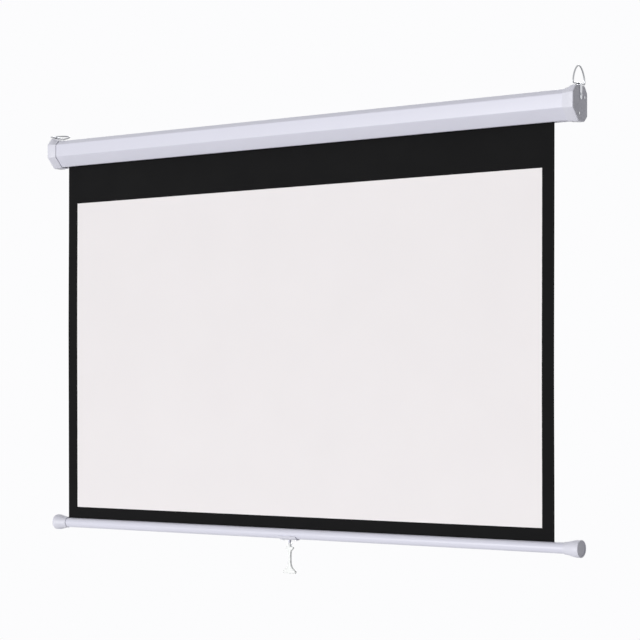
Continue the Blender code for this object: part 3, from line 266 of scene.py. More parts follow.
# --------------------------------------------------------------------------- drawing in 2D


def spaced(start: float, end: float, steps: int) -> list[float]:
    """Give evenly spaced numbers, both ends included."""
    return [start + (end - start) * i / steps for i in range(steps + 1)]


def arc(centre: Point2, radius: float, start: float, end: float, steps: int) -> list[Point2]:
    """Lay points on an arc between two angles, both ends included."""
    x, y = centre
    return [(x + radius * cos(turn), y + radius * sin(turn)) for turn in spaced(start, end, steps)]


def quarter(steps: int) -> list[Point2]:
    """Give 1 less the sine and 1 less the cosine through a quarter turn."""
    return [(1.0 - sin(turn), 1.0 - cos(turn)) for turn in spaced(0.0, QUARTER_TURN, steps)]


def swell(share: float, full: float) -> float:
    """Give a smooth rise from 0 to 1 that is full at the given share of the way."""
    return 0.5 - 0.5 * cos(pi * min(1.0, share / full))


def powered(value: float, power: float) -> float:
    """Raise a number to a power and keep its sign."""
    return copysign(abs(value) ** power, value)


def rounded(
    points: Outline, radii: float | Sequence[float], steps: int, closed: bool = True
) -> list[Point2]:
    """Replace each corner of an outline with an arc.

    Args:
        points: Corners of the outline.
        radii: One radius for every corner, or one for each.
        steps: Chords in each arc.
        closed: Whether the last corner joins the first.

    Returns:
        The outline with its bends.
    """
    made: list[Point2] = []
    count = len(points)
    for i, point in enumerate(points):
        if not closed and i in (0, count - 1):
            made.append(point)
            continue
        here = Vector(point)
        back = (Vector(points[i - 1]) - here).normalized()
        ahead = (Vector(points[(i + 1) % count]) - here).normalized()
        half = 0.5 * acos(max(-1.0, min(1.0, back.dot(ahead))))
        bend = radii if isinstance(radii, float) else radii[i]
        centre = here + (back + ahead).normalized() * (bend / sin(half))
        first = here + back * (bend / tan(half)) - centre
        last = here + ahead * (bend / tan(half)) - centre
        start = atan2(first.y, first.x)
        turn = (atan2(last.y, last.x) - start + pi) % FULL_TURN - pi
        made += arc((centre.x, centre.y), bend, start, start + turn, steps)
    return made


def grown(points: Outline, distance: float) -> list[Point2]:
    """Move each side of a closed outline outwards, with mitred corners.

    Args:
        points: Corners of the outline.
        distance: How far each side moves out, or in where it is negative.

    Returns:
        The moved corners.
    """
    count = len(points)
    area = sum(
        points[i - 1][0] * points[i][1] - points[i][0] * points[i - 1][1] for i in range(count)
    )
    side = copysign(1.0, area)
    made = []
    for i, point in enumerate(points):
        here = Vector(point)
        before = (here - Vector(points[i - 1])).normalized()
        after = (Vector(points[(i + 1) % count]) - here).normalized()
        mitre = (Vector((before.y, -before.x)) + Vector((after.y, -after.x))) * side
        moved = here + mitre * (2.0 * distance / mitre.length_squared)
        made.append((moved.x, moved.y))
    return made


def eased(stations: Sequence[Sequence[float]], steps: int) -> list[list[float]]:
    """Draw a smooth curve through rows of numbers.

    Args:
        stations: Rows that the curve passes through.
        steps: Rows made for each gap between two of them.

    Returns:
        The given rows with the new ones between them.
    """
    made = []
    last = len(stations) - 1
    for i in range(last):
        beside = [stations[max(0, min(last, i + k))] for k in (-1, 0, 1, 2)]
        for t in spaced(0.0, 1.0, steps)[:-1]:
            row = []
            for a, b, c, d in zip(*beside):
                lean = (2.0 * a - 5.0 * b + 4.0 * c - d) * t * t
                bow = (3.0 * b - a - 3.0 * c + d) * t**3
                row.append(0.5 * (2.0 * b + (c - a) * t + lean + bow))
            made.append(row)
    made.append(list(stations[-1]))
    return made


# --------------------------------------------------------------------------- shaping pieces


def set_out(name: str, data: Any) -> Piece:
    """Put a mesh, lamp or camera in the scene.

    Args:
        name: Name of its object.
        data: The mesh, lamp or camera.

    Returns:
        The object.
    """
    made = bpy.data.objects.new(name, data)
    bpy.context.scene.collection.objects.link(made)
    return made


def from_grid(name: str, grid: Grid) -> Piece:
    """Make a piece of a filled mesh, and use the mesh up.

    Args:
        name: Name of the piece.
        grid: Its vertices and faces.

    Returns:
        The piece, with its faces turned outwards.
    """
    bmesh.ops.recalc_face_normals(grid, faces=grid.faces)
    mesh = bpy.data.meshes.new(name)
    grid.to_mesh(mesh)
    grid.free()
    return set_out(name, mesh)


def skin(grid: Grid, rows: Rows, kind: Skin) -> list[list[bmesh.types.BMVert]]:
    """Add rows of points to a mesh, and the faces between them.

    Args:
        grid: Mesh that takes them.
        rows: Rows of points, the same number in each.
        kind: How they are joined.

    Returns:
        The vertices of each row.
    """
    knots = [[grid.verts.new(point) for point in row] for row in rows]
    pairs = list(zip(knots, knots[1:]))
    if kind is Skin.RING:
        pairs.insert(0, (knots[-1], knots[0]))
    first = 1 if kind is Skin.SHEET else 0
    for low, high in pairs:
        for i in range(first, len(low)):
            grid.faces.new((low[i - 1], low[i], high[i], high[i - 1]))
    if kind is Skin.SOLID:
        grid.faces.new(knots[0])
        grid.faces.new(knots[-1])
    return knots


def surface(name: str, rows: Rows, kind: Skin) -> Piece:
    """Make a piece of rows of points.

    Args:
        name: Name of the piece.
        rows: Rows of points, the same number in each.
        kind: How they are joined.

    Returns:
        The piece.
    """
    grid = bmesh.new()
    skin(grid, rows, kind)
    return from_grid(name, grid)


def loft(name: str, sections: Sequence[tuple[float, Outline]]) -> Piece:
    """Join closed outlines in the YZ plane, given with their places along X."""
    rows = [[(x, y, z) for y, z in outline] for x, outline in sections]
    return surface(name, rows, Skin.SOLID)


def box(name: str, low: Point3, high: Point3) -> Piece:
    """Make a box.

    Args:
        name: Name of the box.
        low: Its corner on the negative side.
        high: Its corner on the positive side.

    Returns:
        The box.
    """
    grid = bmesh.new()
    bmesh.ops.create_cube(grid, size=1.0)
    for vertex in grid.verts:
        vertex.co = [a + (share + 0.5) * (b - a) for share, a, b in zip(vertex.co, low, high)]
    return from_grid(name, grid)


def turned(name: str, profile: Outline, steps: int) -> Piece:
    """Turn a section about the Z axis.

    Args:
        name: Name of the piece.
        profile: Points of the section as (height, radius), from the axis back to the axis.
        steps: Sides of the turned piece.

    Returns:
        The piece.
    """
    grid = bmesh.new()
    turns = spaced(0.0, FULL_TURN, steps)[:-1]
    rows = [[(radius * cos(t), radius * sin(t), z) for t in turns] for z, radius in profile[1:-1]]
    rings = skin(grid, rows, Skin.TUBE)
    for (z, _), ring in ((profile[0], rings[0]), (profile[-1], rings[-1])):
        tip = grid.verts.new((0.0, 0.0, z))
        for i in range(steps):
            grid.faces.new((ring[i - 1], ring[i], tip))
    return from_grid(name, grid)


def bent_wire(name: str, points: Sequence[Point3], radius: float, sides: int) -> Piece:
    """Sweep a round wire round a closed line that lies in one plane.

    Args:
        name: Name of the piece.
        points: Points of the line.
        radius: The wire's radius.
        sides: Sides of its section.

    Returns:
        The wire.
    """
    count = len(points)
    line = [Vector(point) for point in points]
    middle = sum(line, Vector()) / count
    plane = (line[0] - middle).cross(line[count // 4] - middle).normalized()
    rings = []
    for i, here in enumerate(line):
        ahead = (line[(i + 1) % count] - here).normalized()
        behind = (here - line[i - 1]).normalized()
        along = (ahead + behind).normalized()
        aside = along.cross(plane)
        wide = radius * (1.0 / max(LEAST_MITRE, along.dot(ahead)))
        rings.append(
            [
                here + aside * (wide * cos(turn)) + plane * (radius * sin(turn))
                for turn in spaced(0.0, FULL_TURN, sides)[:-1]
            ]
        )
    return surface(name, rings, Skin.RING)


def modify(piece: Piece, kind: str, **settings: Any) -> None:
    """Apply a modifier to a piece.

    Args:
        piece: What it changes.
        kind: Blender's name for the kind of modifier.
        **settings: Properties to set on it.
    """
    step = piece.modifiers.new(kind.lower(), kind)
    for name, value in settings.items():
        setattr(step, name, value)
    graph = bpy.context.evaluated_depsgraph_get()
    graph.update()
    made = bpy.data.meshes.new_from_object(piece.evaluated_get(graph))
    made.name = piece.name
    piece.modifiers.clear()
    piece.data = made


def combine(piece: Piece, tool: Piece, merge: Merge = Merge.CUT) -> None:
    """Cut a tool out of a piece or join it on, and use the tool up."""
    modify(piece, "BOOLEAN", operation=merge.value, object=tool, solver="EXACT")
    bpy.data.objects.remove(tool, do_unlink=True)


def thicken(piece: Piece, thickness: float) -> None:
    """Give an open surface a wall, half to each side."""
    modify(piece, "SOLIDIFY", thickness=thickness, offset=0.0, use_even_offset=True)


def soften(piece: Piece, width: float) -> None:
    """Round the sharp edges of a piece."""
    limit = {"limit_method": "ANGLE", "angle_limit": BEVEL_ANGLE}
    modify(piece, "BEVEL", width=width, segments=BEVEL_STEPS, **limit)


def ribbon(name: str, path: Outline, half: float, thickness: float) -> Piece:
    """Bend a strip along a path in the YZ plane.

    Args:
        name: Name of the piece.
        path: The middle of its wall.
        half: Half of its length along X.
        thickness: Thickness of its wall.

    Returns:
        The strip.
    """
    rows = [[(x, y, z) for y, z in path] for x in (-half, half)]
    made = surface(name, rows, Skin.SHEET)
    thicken(made, thickness)
    return made


# --------------------------------------------------------------------------- finishes

# Noise seldom leaves this part of its range
NOISE_LOW, NOISE_HIGH = 0.2, 0.8
# Radians that a wave texture turns through in each metre at a scale of 1
WAVE_RATE = 20.0
# The Mix node's colour sockets share their names with other sockets
MIX_FIRST, MIX_SECOND, MIX_RESULT = 6, 7, 2


def linear(hex_code: str) -> tuple[float, float, float, float]:
    """Turn an sRGB hex value into a linear colour.

    Args:
        hex_code: Six hex digits after a hash.

    Returns:
        Linear red, green, blue and an alpha of 1.
    """
    shares = [int(hex_code[i : i + 2], 16) / 255.0 for i in (1, 3, 5)]
    # The sRGB standard's curve: straight near black, and a power above that
    red, green, blue = (
        share / 12.92 if share <= 0.04045 else ((share + 0.055) / 1.055) ** 2.4
        for share in shares
    )
    return (red, green, blue, 1.0)


def emptied(owner: Any) -> Tree:
    """Give the node tree of a material or the world, with nothing in it.

    Args:
        owner: The material or world.

    Returns:
        Its tree.
    """
    owner.use_nodes = True
    owner.node_tree.nodes.clear()
    return owner.node_tree


def add_node(
    tree: Tree,
    kind: str,
    settings: dict[str, Any] | None = None,
    inputs: dict[str | int, Any] | None = None,
) -> Node:
    """Add a node with its settings, and fill or link its sockets.

    Args:
        tree: Node tree that takes the node.
        kind: Blender's name for the kind of node.
        settings: Properties to set on the node.
        inputs: Socket names or numbers, each with a value or with the socket that feeds it.

    Returns:
        The new node.
    """
    node = tree.nodes.new(kind)
    for name, value in (settings or {}).items():
        setattr(node, name, value)
    for name, value in (inputs or {}).items():
        if isinstance(value, Socket):
            tree.links.new(value, node.inputs[name])
        else:
            node.inputs[name].default_value = value
    return node


@dataclass(frozen=True)
class Nodes:
    """A material under way: its tree, its shader and the coordinates in metres."""

    tree: Tree
    shader: Node
    place: Socket


@dataclass(frozen=True)
class Finish:
    """A material and how its surface was made.

    Noise mixes the two colours and shifts the roughness by up to the gloss spread, and finer
    noise lifts the surface. The sizes of both and the grain's height are real ones in millimetres.
    """

    name: str
    slot: str
    colour: str
    second_colour: str
    roughness: float
    grain_height: float
    metallic: float = 0.0
    ior: float = 1.5
    specular: float = 0.5
    gloss_spread: float = 0.05
    tone_size: float = 60.0
    tone_detail: float = 3.0
    grain_size: float = 1.2
    grain_detail: float = 2.0

    def build(self) -> bpy.types.Material:
        """Make the material with its nodes.

        Returns:
            The material.
        """
        made = bpy.data.materials.new(self.name)
        made.diffuse_color = linear(self.colour)
        tree = emptied(made)
        inputs = {"Metallic": self.metallic, "IOR": self.ior, "Specular IOR Level": self.specular}
        shader = add_node(tree, "ShaderNodeBsdfPrincipled", inputs=inputs)
        add_node(tree, "ShaderNodeOutputMaterial", inputs={"Surface": shader.outputs["BSDF"]})
        place = add_node(tree, "ShaderNodeTexCoord").outputs["Object"]
        self.dress(Nodes(tree, shader, place))
        return made

    def dress(self, nodes: Nodes) -> None:
        """Give the shader its tone, gloss and grain.

        Args:
            nodes: The material under way.
        """
        tone = self.mottle(nodes, self.tone_size, self.tone_detail)
        self.tint(nodes, tone)
        self.gloss(nodes, tone)
        self.relief(nodes, self.mottle(nodes, self.grain_size, self.grain_detail))

    def mottle(self, nodes: Nodes, size: float, detail: float) -> Socket:
        """Give noise from 0 to 1 whose blobs have a size in millimetres."""
        inputs = {"Vector": nodes.place, "Scale": 1.0 / (size * MILLIMETRE), "Detail": detail}
        return add_node(nodes.tree, "ShaderNodeTexNoise", inputs=inputs).outputs["Fac"]

    def tint(self, nodes: Nodes, share: Socket) -> None:
        """Mix the two colours.

        Args:
            nodes: The material under way.
            share: How much of the second colour there is, from 0 to 1.
        """
        mix = add_node(
            nodes.tree,
            "ShaderNodeMix",
            {"data_type": "RGBA"},
            {
                "Factor": share,
                MIX_FIRST: linear(self.colour),
                MIX_SECOND: linear(self.second_colour),
            },
        )
        nodes.tree.links.new(mix.outputs[MIX_RESULT], nodes.shader.inputs["Base Color"])

    def gloss(self, nodes: Nodes, share: Socket) -> None:
        """Vary the roughness to both sides of its value.

        Args:
            nodes: The material under way.
            share: Where the roughness lies between its least and its most, as noise.
        """
        ranged = add_node(
            nodes.tree,
            "ShaderNodeMapRange",
            {"interpolation_type": "SMOOTHSTEP"},
            {
                "Value": share,
                "From Min": NOISE_LOW,
                "From Max": NOISE_HIGH,
                "To Min": self.roughness - self.gloss_spread,
                "To Max": self.roughness + self.gloss_spread,
            },
        )
        nodes.tree.links.new(ranged.outputs["Result"], nodes.shader.inputs["Roughness"])

    def relief(self, nodes: Nodes, height: Socket) -> None:
        """Raise the surface by up to the grain's height.

        Args:
            nodes: The material under way.
            height: Share of that height, from 0 to 1.
        """
        inputs = {"Height": height, "Distance": self.grain_height * MILLIMETRE}
        bump = add_node(nodes.tree, "ShaderNodeBump", inputs=inputs)
        nodes.tree.links.new(bump.outputs["Normal"], nodes.shader.inputs["Normal"])


@dataclass(frozen=True)
class WovenCloth(Finish):
    """Coated glass fibre cloth, woven and then coated.

    The coating lies in the weave, so the eye sees a dead matt face with a faint square thread.
    """

    gloss_spread: float = 0.03
    tone_detail: float = 2.0
    thread: float = 1.6

    def dress(self, nodes: Nodes) -> None:
        """Lay the warp and weft as two sets of ridges, and mottle the coating slightly.

        Args:
            nodes: The material under way.
        """
        tone = self.mottle(nodes, self.tone_size, self.tone_detail)
        self.tint(nodes, tone)
        self.gloss(nodes, tone)
        # The real thread is 0.4 mm; it is drawn four times as coarse so that it shows
        scale = FULL_TURN / (WAVE_RATE * self.thread * MILLIMETRE)
        warp, weft = (
            add_node(
                nodes.tree,
                "ShaderNodeTexWave",
                {"bands_direction": direction},
                {"Vector": nodes.place, "Scale": scale},
            ).outputs["Fac"]
            for direction in ("X", "Z")
        )
        higher = {"operation": "MAXIMUM"}
        weave = add_node(nodes.tree, "ShaderNodeMath", higher, {0: warp, 1: weft})
        self.relief(nodes, weave.outputs["Value"])


@dataclass(frozen=True)
class DrawnMetal(Finish):
    """Metal that was drawn or rolled along its length.

    The die leaves fine lines along X, which the eye sees as a streaked sheen.
    """

    gloss_spread: float = 0.08
    grain_detail: float = 3.0
    stretch: float = 60.0

    def dress(self, nodes: Nodes) -> None:
        """Streak the tone, gloss and relief along X.

        Args:
            nodes: The material under way.
        """
        inputs = {"Vector": nodes.place, "Scale": (1.0 / self.stretch, 1.0, 1.0)}
        drawn = add_node(nodes.tree, "ShaderNodeMapping", inputs=inputs).outputs["Vector"]
        streaks = self.mottle(replace(nodes, place=drawn), self.grain_size, self.grain_detail)
        self.tint(nodes, streaks)
        self.gloss(nodes, streaks)
        self.relief(nodes, streaks)


class Finishes:
    """Every finish on the screen."""

    # Polyester powder coat on rolled steel: an even satin white with a faint orange peel
    POWDER_COAT = Finish(
        name="polyester_powder_coat",
        slot="white_coated_steel",
        colour="#D9D9E5",
        second_colour="#D5D5E2",
        roughness=0.34,
        tone_size=140.0,
        grain_size=2.2,
        grain_height=0.012,
    )
    # Moulded ABS with a spark eroded mould face: softer highlights than the coated steel
    MOULDED_ABS = Finish(
        name="moulded_abs",
        slot="pale_moulding",
        colour="#D9D9E3",
        second_colour="#D4D4DF",
        roughness=0.48,
        ior=1.54,
        tone_size=35.0,
        grain_size=0.9,
        grain_height=0.02,
    )
    # Matt white projection cloth, PVC coated: no highlight at all at any angle
    PROJECTION_CLOTH = WovenCloth(
        name="projection_cloth",
        slot="white_sheet",
        colour="#EEEAEB",
        second_colour="#EBE7E8",
        roughness=0.92,
        ior=1.53,
        specular=0.2,
        tone_size=180.0,
        grain_height=0.02,
    )
    # Black masking ink printed on the same cloth: the weave shows through it
    MASKING_INK = WovenCloth(
        name="black_masking_ink",
        slot="black_mask",
        colour="#0C0C0D",
        second_colour="#101011",
        roughness=0.85,
        specular=0.12,
        tone_size=90.0,
        grain_height=0.02,
    )
    # Bright zinc plate on steel: grey metal, cloudy where the plating is thinner
    ZINC_PLATE = Finish(
        name="bright_zinc_plate",
        slot="zinc_steel",
        colour="#DCDDE0",
        second_colour="#C9CBCF",
        roughness=0.34,
        metallic=1.0,
        tone_size=6.0,
        grain_size=1.0,
        grain_height=0.003,
    )
    # Nickel plated wire, bent after plating: dull grey with soft bright lines along it
    NICKEL_PLATE = Finish(
        name="dull_nickel_plate",
        slot="nickel_wire",
        colour="#B2B3B6",
        second_colour="#9FA1A4",
        roughness=0.34,
        metallic=1.0,
        tone_size=5.0,
        grain_size=1.0,
        grain_height=0.003,
    )
    # Oil tempered spring wire, coiled: dark grey with a dull sheen
    SPRING_WIRE = Finish(
        name="oil_tempered_spring_wire",
        slot="spring_steel",
        colour="#8E9094",
        second_colour="#77797D",
        roughness=0.38,
        metallic=1.0,
        tone_size=3.0,
        grain_size=0.5,
        grain_height=0.005,
    )
    # Extruded aluminium left as it comes off the die: long fine streaks
    EXTRUDED_ALUMINIUM = DrawnMetal(
        name="extruded_aluminium",
        slot="roller_aluminium",
        colour="#CDCED1",
        second_colour="#BABCBF",
        roughness=0.38,
        metallic=1.0,
        grain_size=0.8,
        grain_height=0.004,
    )
    # Natural nylon, moulded: waxy and slightly yellow
    NATURAL_NYLON = Finish(
        name="natural_nylon",
        slot="nylon",
        colour="#E4E1D8",
        second_colour="#DBD8CE",
        roughness=0.45,
        ior=1.53,
        tone_size=12.0,
        grain_size=0.8,
        grain_height=0.015,
    )
    # Moulded polypropylene of the handle: smooth and waxy, almost white
    POLYPROPYLENE = Finish(
        name="moulded_polypropylene",
        slot="handle_moulding",
        colour="#F2F3F2",
        second_colour="#EDEFEE",
        roughness=0.40,
        ior=1.49,
        tone_size=14.0,
        grain_size=0.7,
        grain_height=0.012,
    )


# --------------------------------------------------------------------------- the bench


@dataclass
class Bench:
    """Loads the frame, and dresses pieces and sets them on it."""

    frame: dict[str, Any] = field(default_factory=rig.load)
    cad_box: Any = field(init=False)
    materials: dict[str, bpy.types.Material] = field(default_factory=dict)

    def __post_init__(self) -> None:
        """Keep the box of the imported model."""
        self.cad_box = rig.bounds()

    def material(self, finish: Finish) -> bpy.types.Material:
        """Give the material of a finish, made once.

        Args:
            finish: The finish.

        Returns:
            Its material.
        """
        if finish.name not in self.materials:
            self.materials[finish.name] = finish.build()
        return self.materials[finish.name]

    def coat(self, piece: Piece, finish: Finish) -> None:
        """Give the whole of a piece a finish."""
        piece.data.materials.clear()
        piece.data.materials.append(self.material(finish))

    def dress(
        self, piece: Piece, finish: Finish, body: Body, crease: Crease, *replaces: str
    ) -> None:
        """Finish a piece and set it to ride on a body in place of nodes of the frame.

        Args:
            piece: The made piece.
            finish: What it is made of.
            body: Body that it moves with.
            crease: Which of its edges stay sharp.
            *replaces: Nodes of the frame that it stands for.
        """
        self.coat(piece, finish)
        piece.data.shade_smooth()
        piece.data.set_sharp_from_angle(angle=crease.value)
        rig.ride(piece, body.value)
        if replaces:
            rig.replaces(piece, *replaces)
        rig.slot(piece, finish.slot)
        LOG.info("%s: %s on %s", piece.name, finish.name, body.value)

    def recolour(self, finish: Finish, *nodes: str) -> None:
        """Give nodes of the frame that stay in view a finish.

        Args:
            finish: What they are made of.
            *nodes: Their names.
        """
        for name in nodes:
            self.coat(self.frame["nodes"][name], finish)
            LOG.info("%s: %s", name, finish.name)


# --------------------------------------------------------------------------- sub-assemblies

# Places in the list of the casing's corners: the two of its top, and the two on the wall plane,
# each with the one beside it
TOP_CORNERS = (3, 4)
WALL_CORNERS = ((5, 4), (6, 7))


@dataclass
class Casing:
    """Roll formed steel casing, an octagon in section with a slot along its bottom.

    Each slope of the octagon is given as how far it reaches in and how far up or down.
    """

    bench: Bench
    depth: float = 0.068
    height: float = 0.076
    wall: float = 0.001
    bend: float = 0.004
    bend_steps: int = 7
    end_x: float = 0.8745
    top_front: Point2 = (0.014, 0.012)
    lower_front: Point2 = (0.026, 0.029)
    lower_rear: Point2 = (0.015, 0.015)
    top_rear: Point2 = (0.014, 0.014)
    slot_middle_y: float = -0.02845
    slot_width: float = 0.014
    lip: float = 0.006
    lip_bend: float = 0.0015

    def corners(self) -> list[Point2]:
        """Give the octagon's corners from beside the slot round the front to the back.

        Returns:
            The corners as (Y, Z).
        """
        half = 0.5 * self.height
        return [
            (-self.depth + self.lower_front[0], -half),
            (-self.depth, -half + self.lower_front[1]),
            (-self.depth, half - self.top_front[1]),
            (-self.depth + self.top_front[0], half),
            (-self.top_rear[0], half),
            (0.0, half - self.top_rear[1]),
            (0.0, -half + self.lower_rear[1]),
            (-self.lower_rear[0], -half),
        ]

    def make(self) -> None:
        """Bend the strip to the section, with the two lips of the slot turned up."""
        half_wall = 0.5 * self.wall
        floor = -0.5 * self.height + half_wall
        front = self.slot_middle_y - 0.5 * self.slot_width - half_wall
        rear = self.slot_middle_y + 0.5 * self.slot_width + half_wall
        lip_top = floor + self.lip - half_wall
        around = grown(self.corners(), -half_wall)
        path = [(front, lip_top), (front, floor), *around, (rear, floor), (rear, lip_top)]
        bends = [0.0, self.lip_bend] + [self.bend] * len(around) + [self.lip_bend, 0.0]
        line = rounded(path, bends, self.bend_steps, closed=False)
        made = ribbon("rolled_casing", line, self.end_x, self.wall)
        self.bench.dress(made, Finishes.POWDER_COAT, Body.CASE, Crease.ROLLED, "casing")


@dataclass
class EndCap:
    """Moulded cap over one end of the casing, flush with the wall plane at the back."""

    bench: Bench
    casing: Casing
    end: End
    face_x: float = 0.895
    mouth_x: float = 0.8625
    spigot_x: float = 0.8465
    spigot_lap: float = 0.001
    floor_x: float = 0.892
    skirt_wall: float = 0.0018
    spigot_wall: float = 0.002
    flare: float = 0.0014
    rise: float = 0.0055
    swell_share: float = 0.75
    side_steps: int = 8
    edge: float = 0.003
    edge_steps: int = 5
    mouth_edge: float = 0.0012
    mouth_steps: int = 4
    corner: float = 0.005
    corner_loss: float = 0.33
    inner_corner: float = 0.004
    corner_steps: int = 6
    keyhole_x: float = 0.88575
    keyhole_z: float = -0.007
    keyhole_head: float = 0.0045
    keyhole_slot: float = 0.0024
    keyhole_rise: float = 0.011
    keyhole_reach: float = 0.006
    keyhole_steps: tuple[int, int] = (28, 12)

    def outer_corners(self, flare: float, rise: float) -> list[Point2]:
        """Give the corners of the outer section at a flare and a rise.

        Args:
            flare: How far the sides stand out from the cap's mouth.
            rise: How far the top stands up from there.

        Returns:
            The corners, with the back kept on the wall plane.
        """
        made = grown(self.casing.corners(), FIT + self.skirt_wall + flare)
        for corner, beside in WALL_CORNERS:
            y, z = made[corner]
            y_beside, z_beside = made[beside]
            made[corner] = (0.0, z + y / (y - y_beside) * (z_beside - z))
        for corner in TOP_CORNERS:
            y, z = made[corner]
            made[corner] = (y, z + rise)
        return made

    def section(self, flare: float, rise: float) -> list[Point2]:
        """Give the outer section at a flare and a rise, with its corners rounded."""
        return rounded(self.outer_corners(flare, rise), self.corner, self.corner_steps)

    def body(self) -> Piece:
        """Make the outer shape: a rounded mouth, a swell and a rounded rim.

        Returns:
            The cap as a solid.
        """
        start = self.mouth_x + self.mouth_edge
        straight = self.face_x - self.mouth_x - self.edge - self.mouth_edge
        sections = [
            (self.mouth_x + self.mouth_edge * back, self.section(-self.mouth_edge * low, 0.0))
            for low, back in quarter(self.mouth_steps)[:-1]
        ]
        for share in spaced(0.0, 1.0, self.side_steps):
            swollen = swell(share, self.swell_share)
            outline = self.section(swollen * self.flare, swollen * self.rise)
            sections.append((start + share * straight, outline))
        rim = self.outer_corners(self.flare, self.rise)
        for back, low in quarter(self.edge_steps)[1:]:
            inset = self.edge * low
            corner = self.corner - self.corner_loss * inset
            outline = rounded(grown(rim, -inset), corner, self.corner_steps)
            sections.append((self.face_x - self.edge * back, outline))
        side = self.end.value
        name = f"moulded_end_cap_{self.end.label}"
        return loft(name, [(side * x, outline) for x, outline in sections])

    def hollow(self, name: str, inset: float, low: float, high: float) -> Piece:
        """Make a plug with the casing's section.

        Args:
            name: Name of the plug.
            inset: How much smaller it is than the casing on each side.
            low: Distance of its inner end from the screen's middle.
            high: Distance of its outer end.

        Returns:
            The plug.
        """
        corners = grown(self.casing.corners(), -inset)
        outline = rounded(corners, self.inner_corner, self.corner_steps)
        return loft(name, [(self.end.value * x, outline) for x in (low, high)])

    def keyhole(self) -> Piece:
        """Make the cutter of the wall screw's keyhole through the cap's back.

        Returns:
            The cutter.
        """
        lean = asin(self.keyhole_slot / self.keyhole_head)
        around, over = self.keyhole_steps
        outline = arc((0.0, 0.0), self.keyhole_head, 0.5 * pi + lean, 2.5 * pi - lean, around)
        outline += arc((0.0, self.keyhole_rise), self.keyhole_slot, 0.0, pi, over)
        middle = self.end.value * self.keyhole_x
        rows = [
            [(middle + x, y, self.keyhole_z + z) for x, z in outline]
            for y in (-self.keyhole_reach, self.keyhole_reach)
        ]
        return surface("keyhole_cutter", rows, Skin.SOLID)

    def make(self) -> None:
        """Mould the cap, open its mouth for the casing and cut its hollow and keyhole."""
        casing = self.casing
        cap = self.body()
        casing_end = casing.end_x + FIT
        spigot_inset = casing.wall + FIT
        hollow_inset = spigot_inset + self.spigot_wall
        inside = self.spigot_x - CUTTER_REACH
        combine(cap, self.hollow("casing_socket", -FIT, self.mouth_x - CUTTER_REACH, casing_end))
        spigot = self.hollow("spigot", spigot_inset, self.spigot_x, casing_end + self.spigot_lap)
        combine(cap, spigot, Merge.JOIN)
        combine(cap, self.hollow("cap_hollow", hollow_inset, inside, self.floor_x))
        low_x, high_x = sorted((self.end.value * inside, self.end.value * casing_end))
        around = 0.5 * casing.slot_width + casing.wall + casing.lip_bend
        bottom = -0.5 * casing.height
        lips = box(
            "lip_room",
            (low_x, casing.slot_middle_y - around, bottom - 0.5 * FIT),
            (high_x, casing.slot_middle_y + around, bottom + casing.lip + FIT),
        )
        combine(cap, lips)
        combine(cap, self.keyhole())
        node = f"end_cap_{self.end.label}"
        self.bench.dress(cap, Finishes.MOULDED_ABS, Body.CASE, Crease.END_CAP, node)


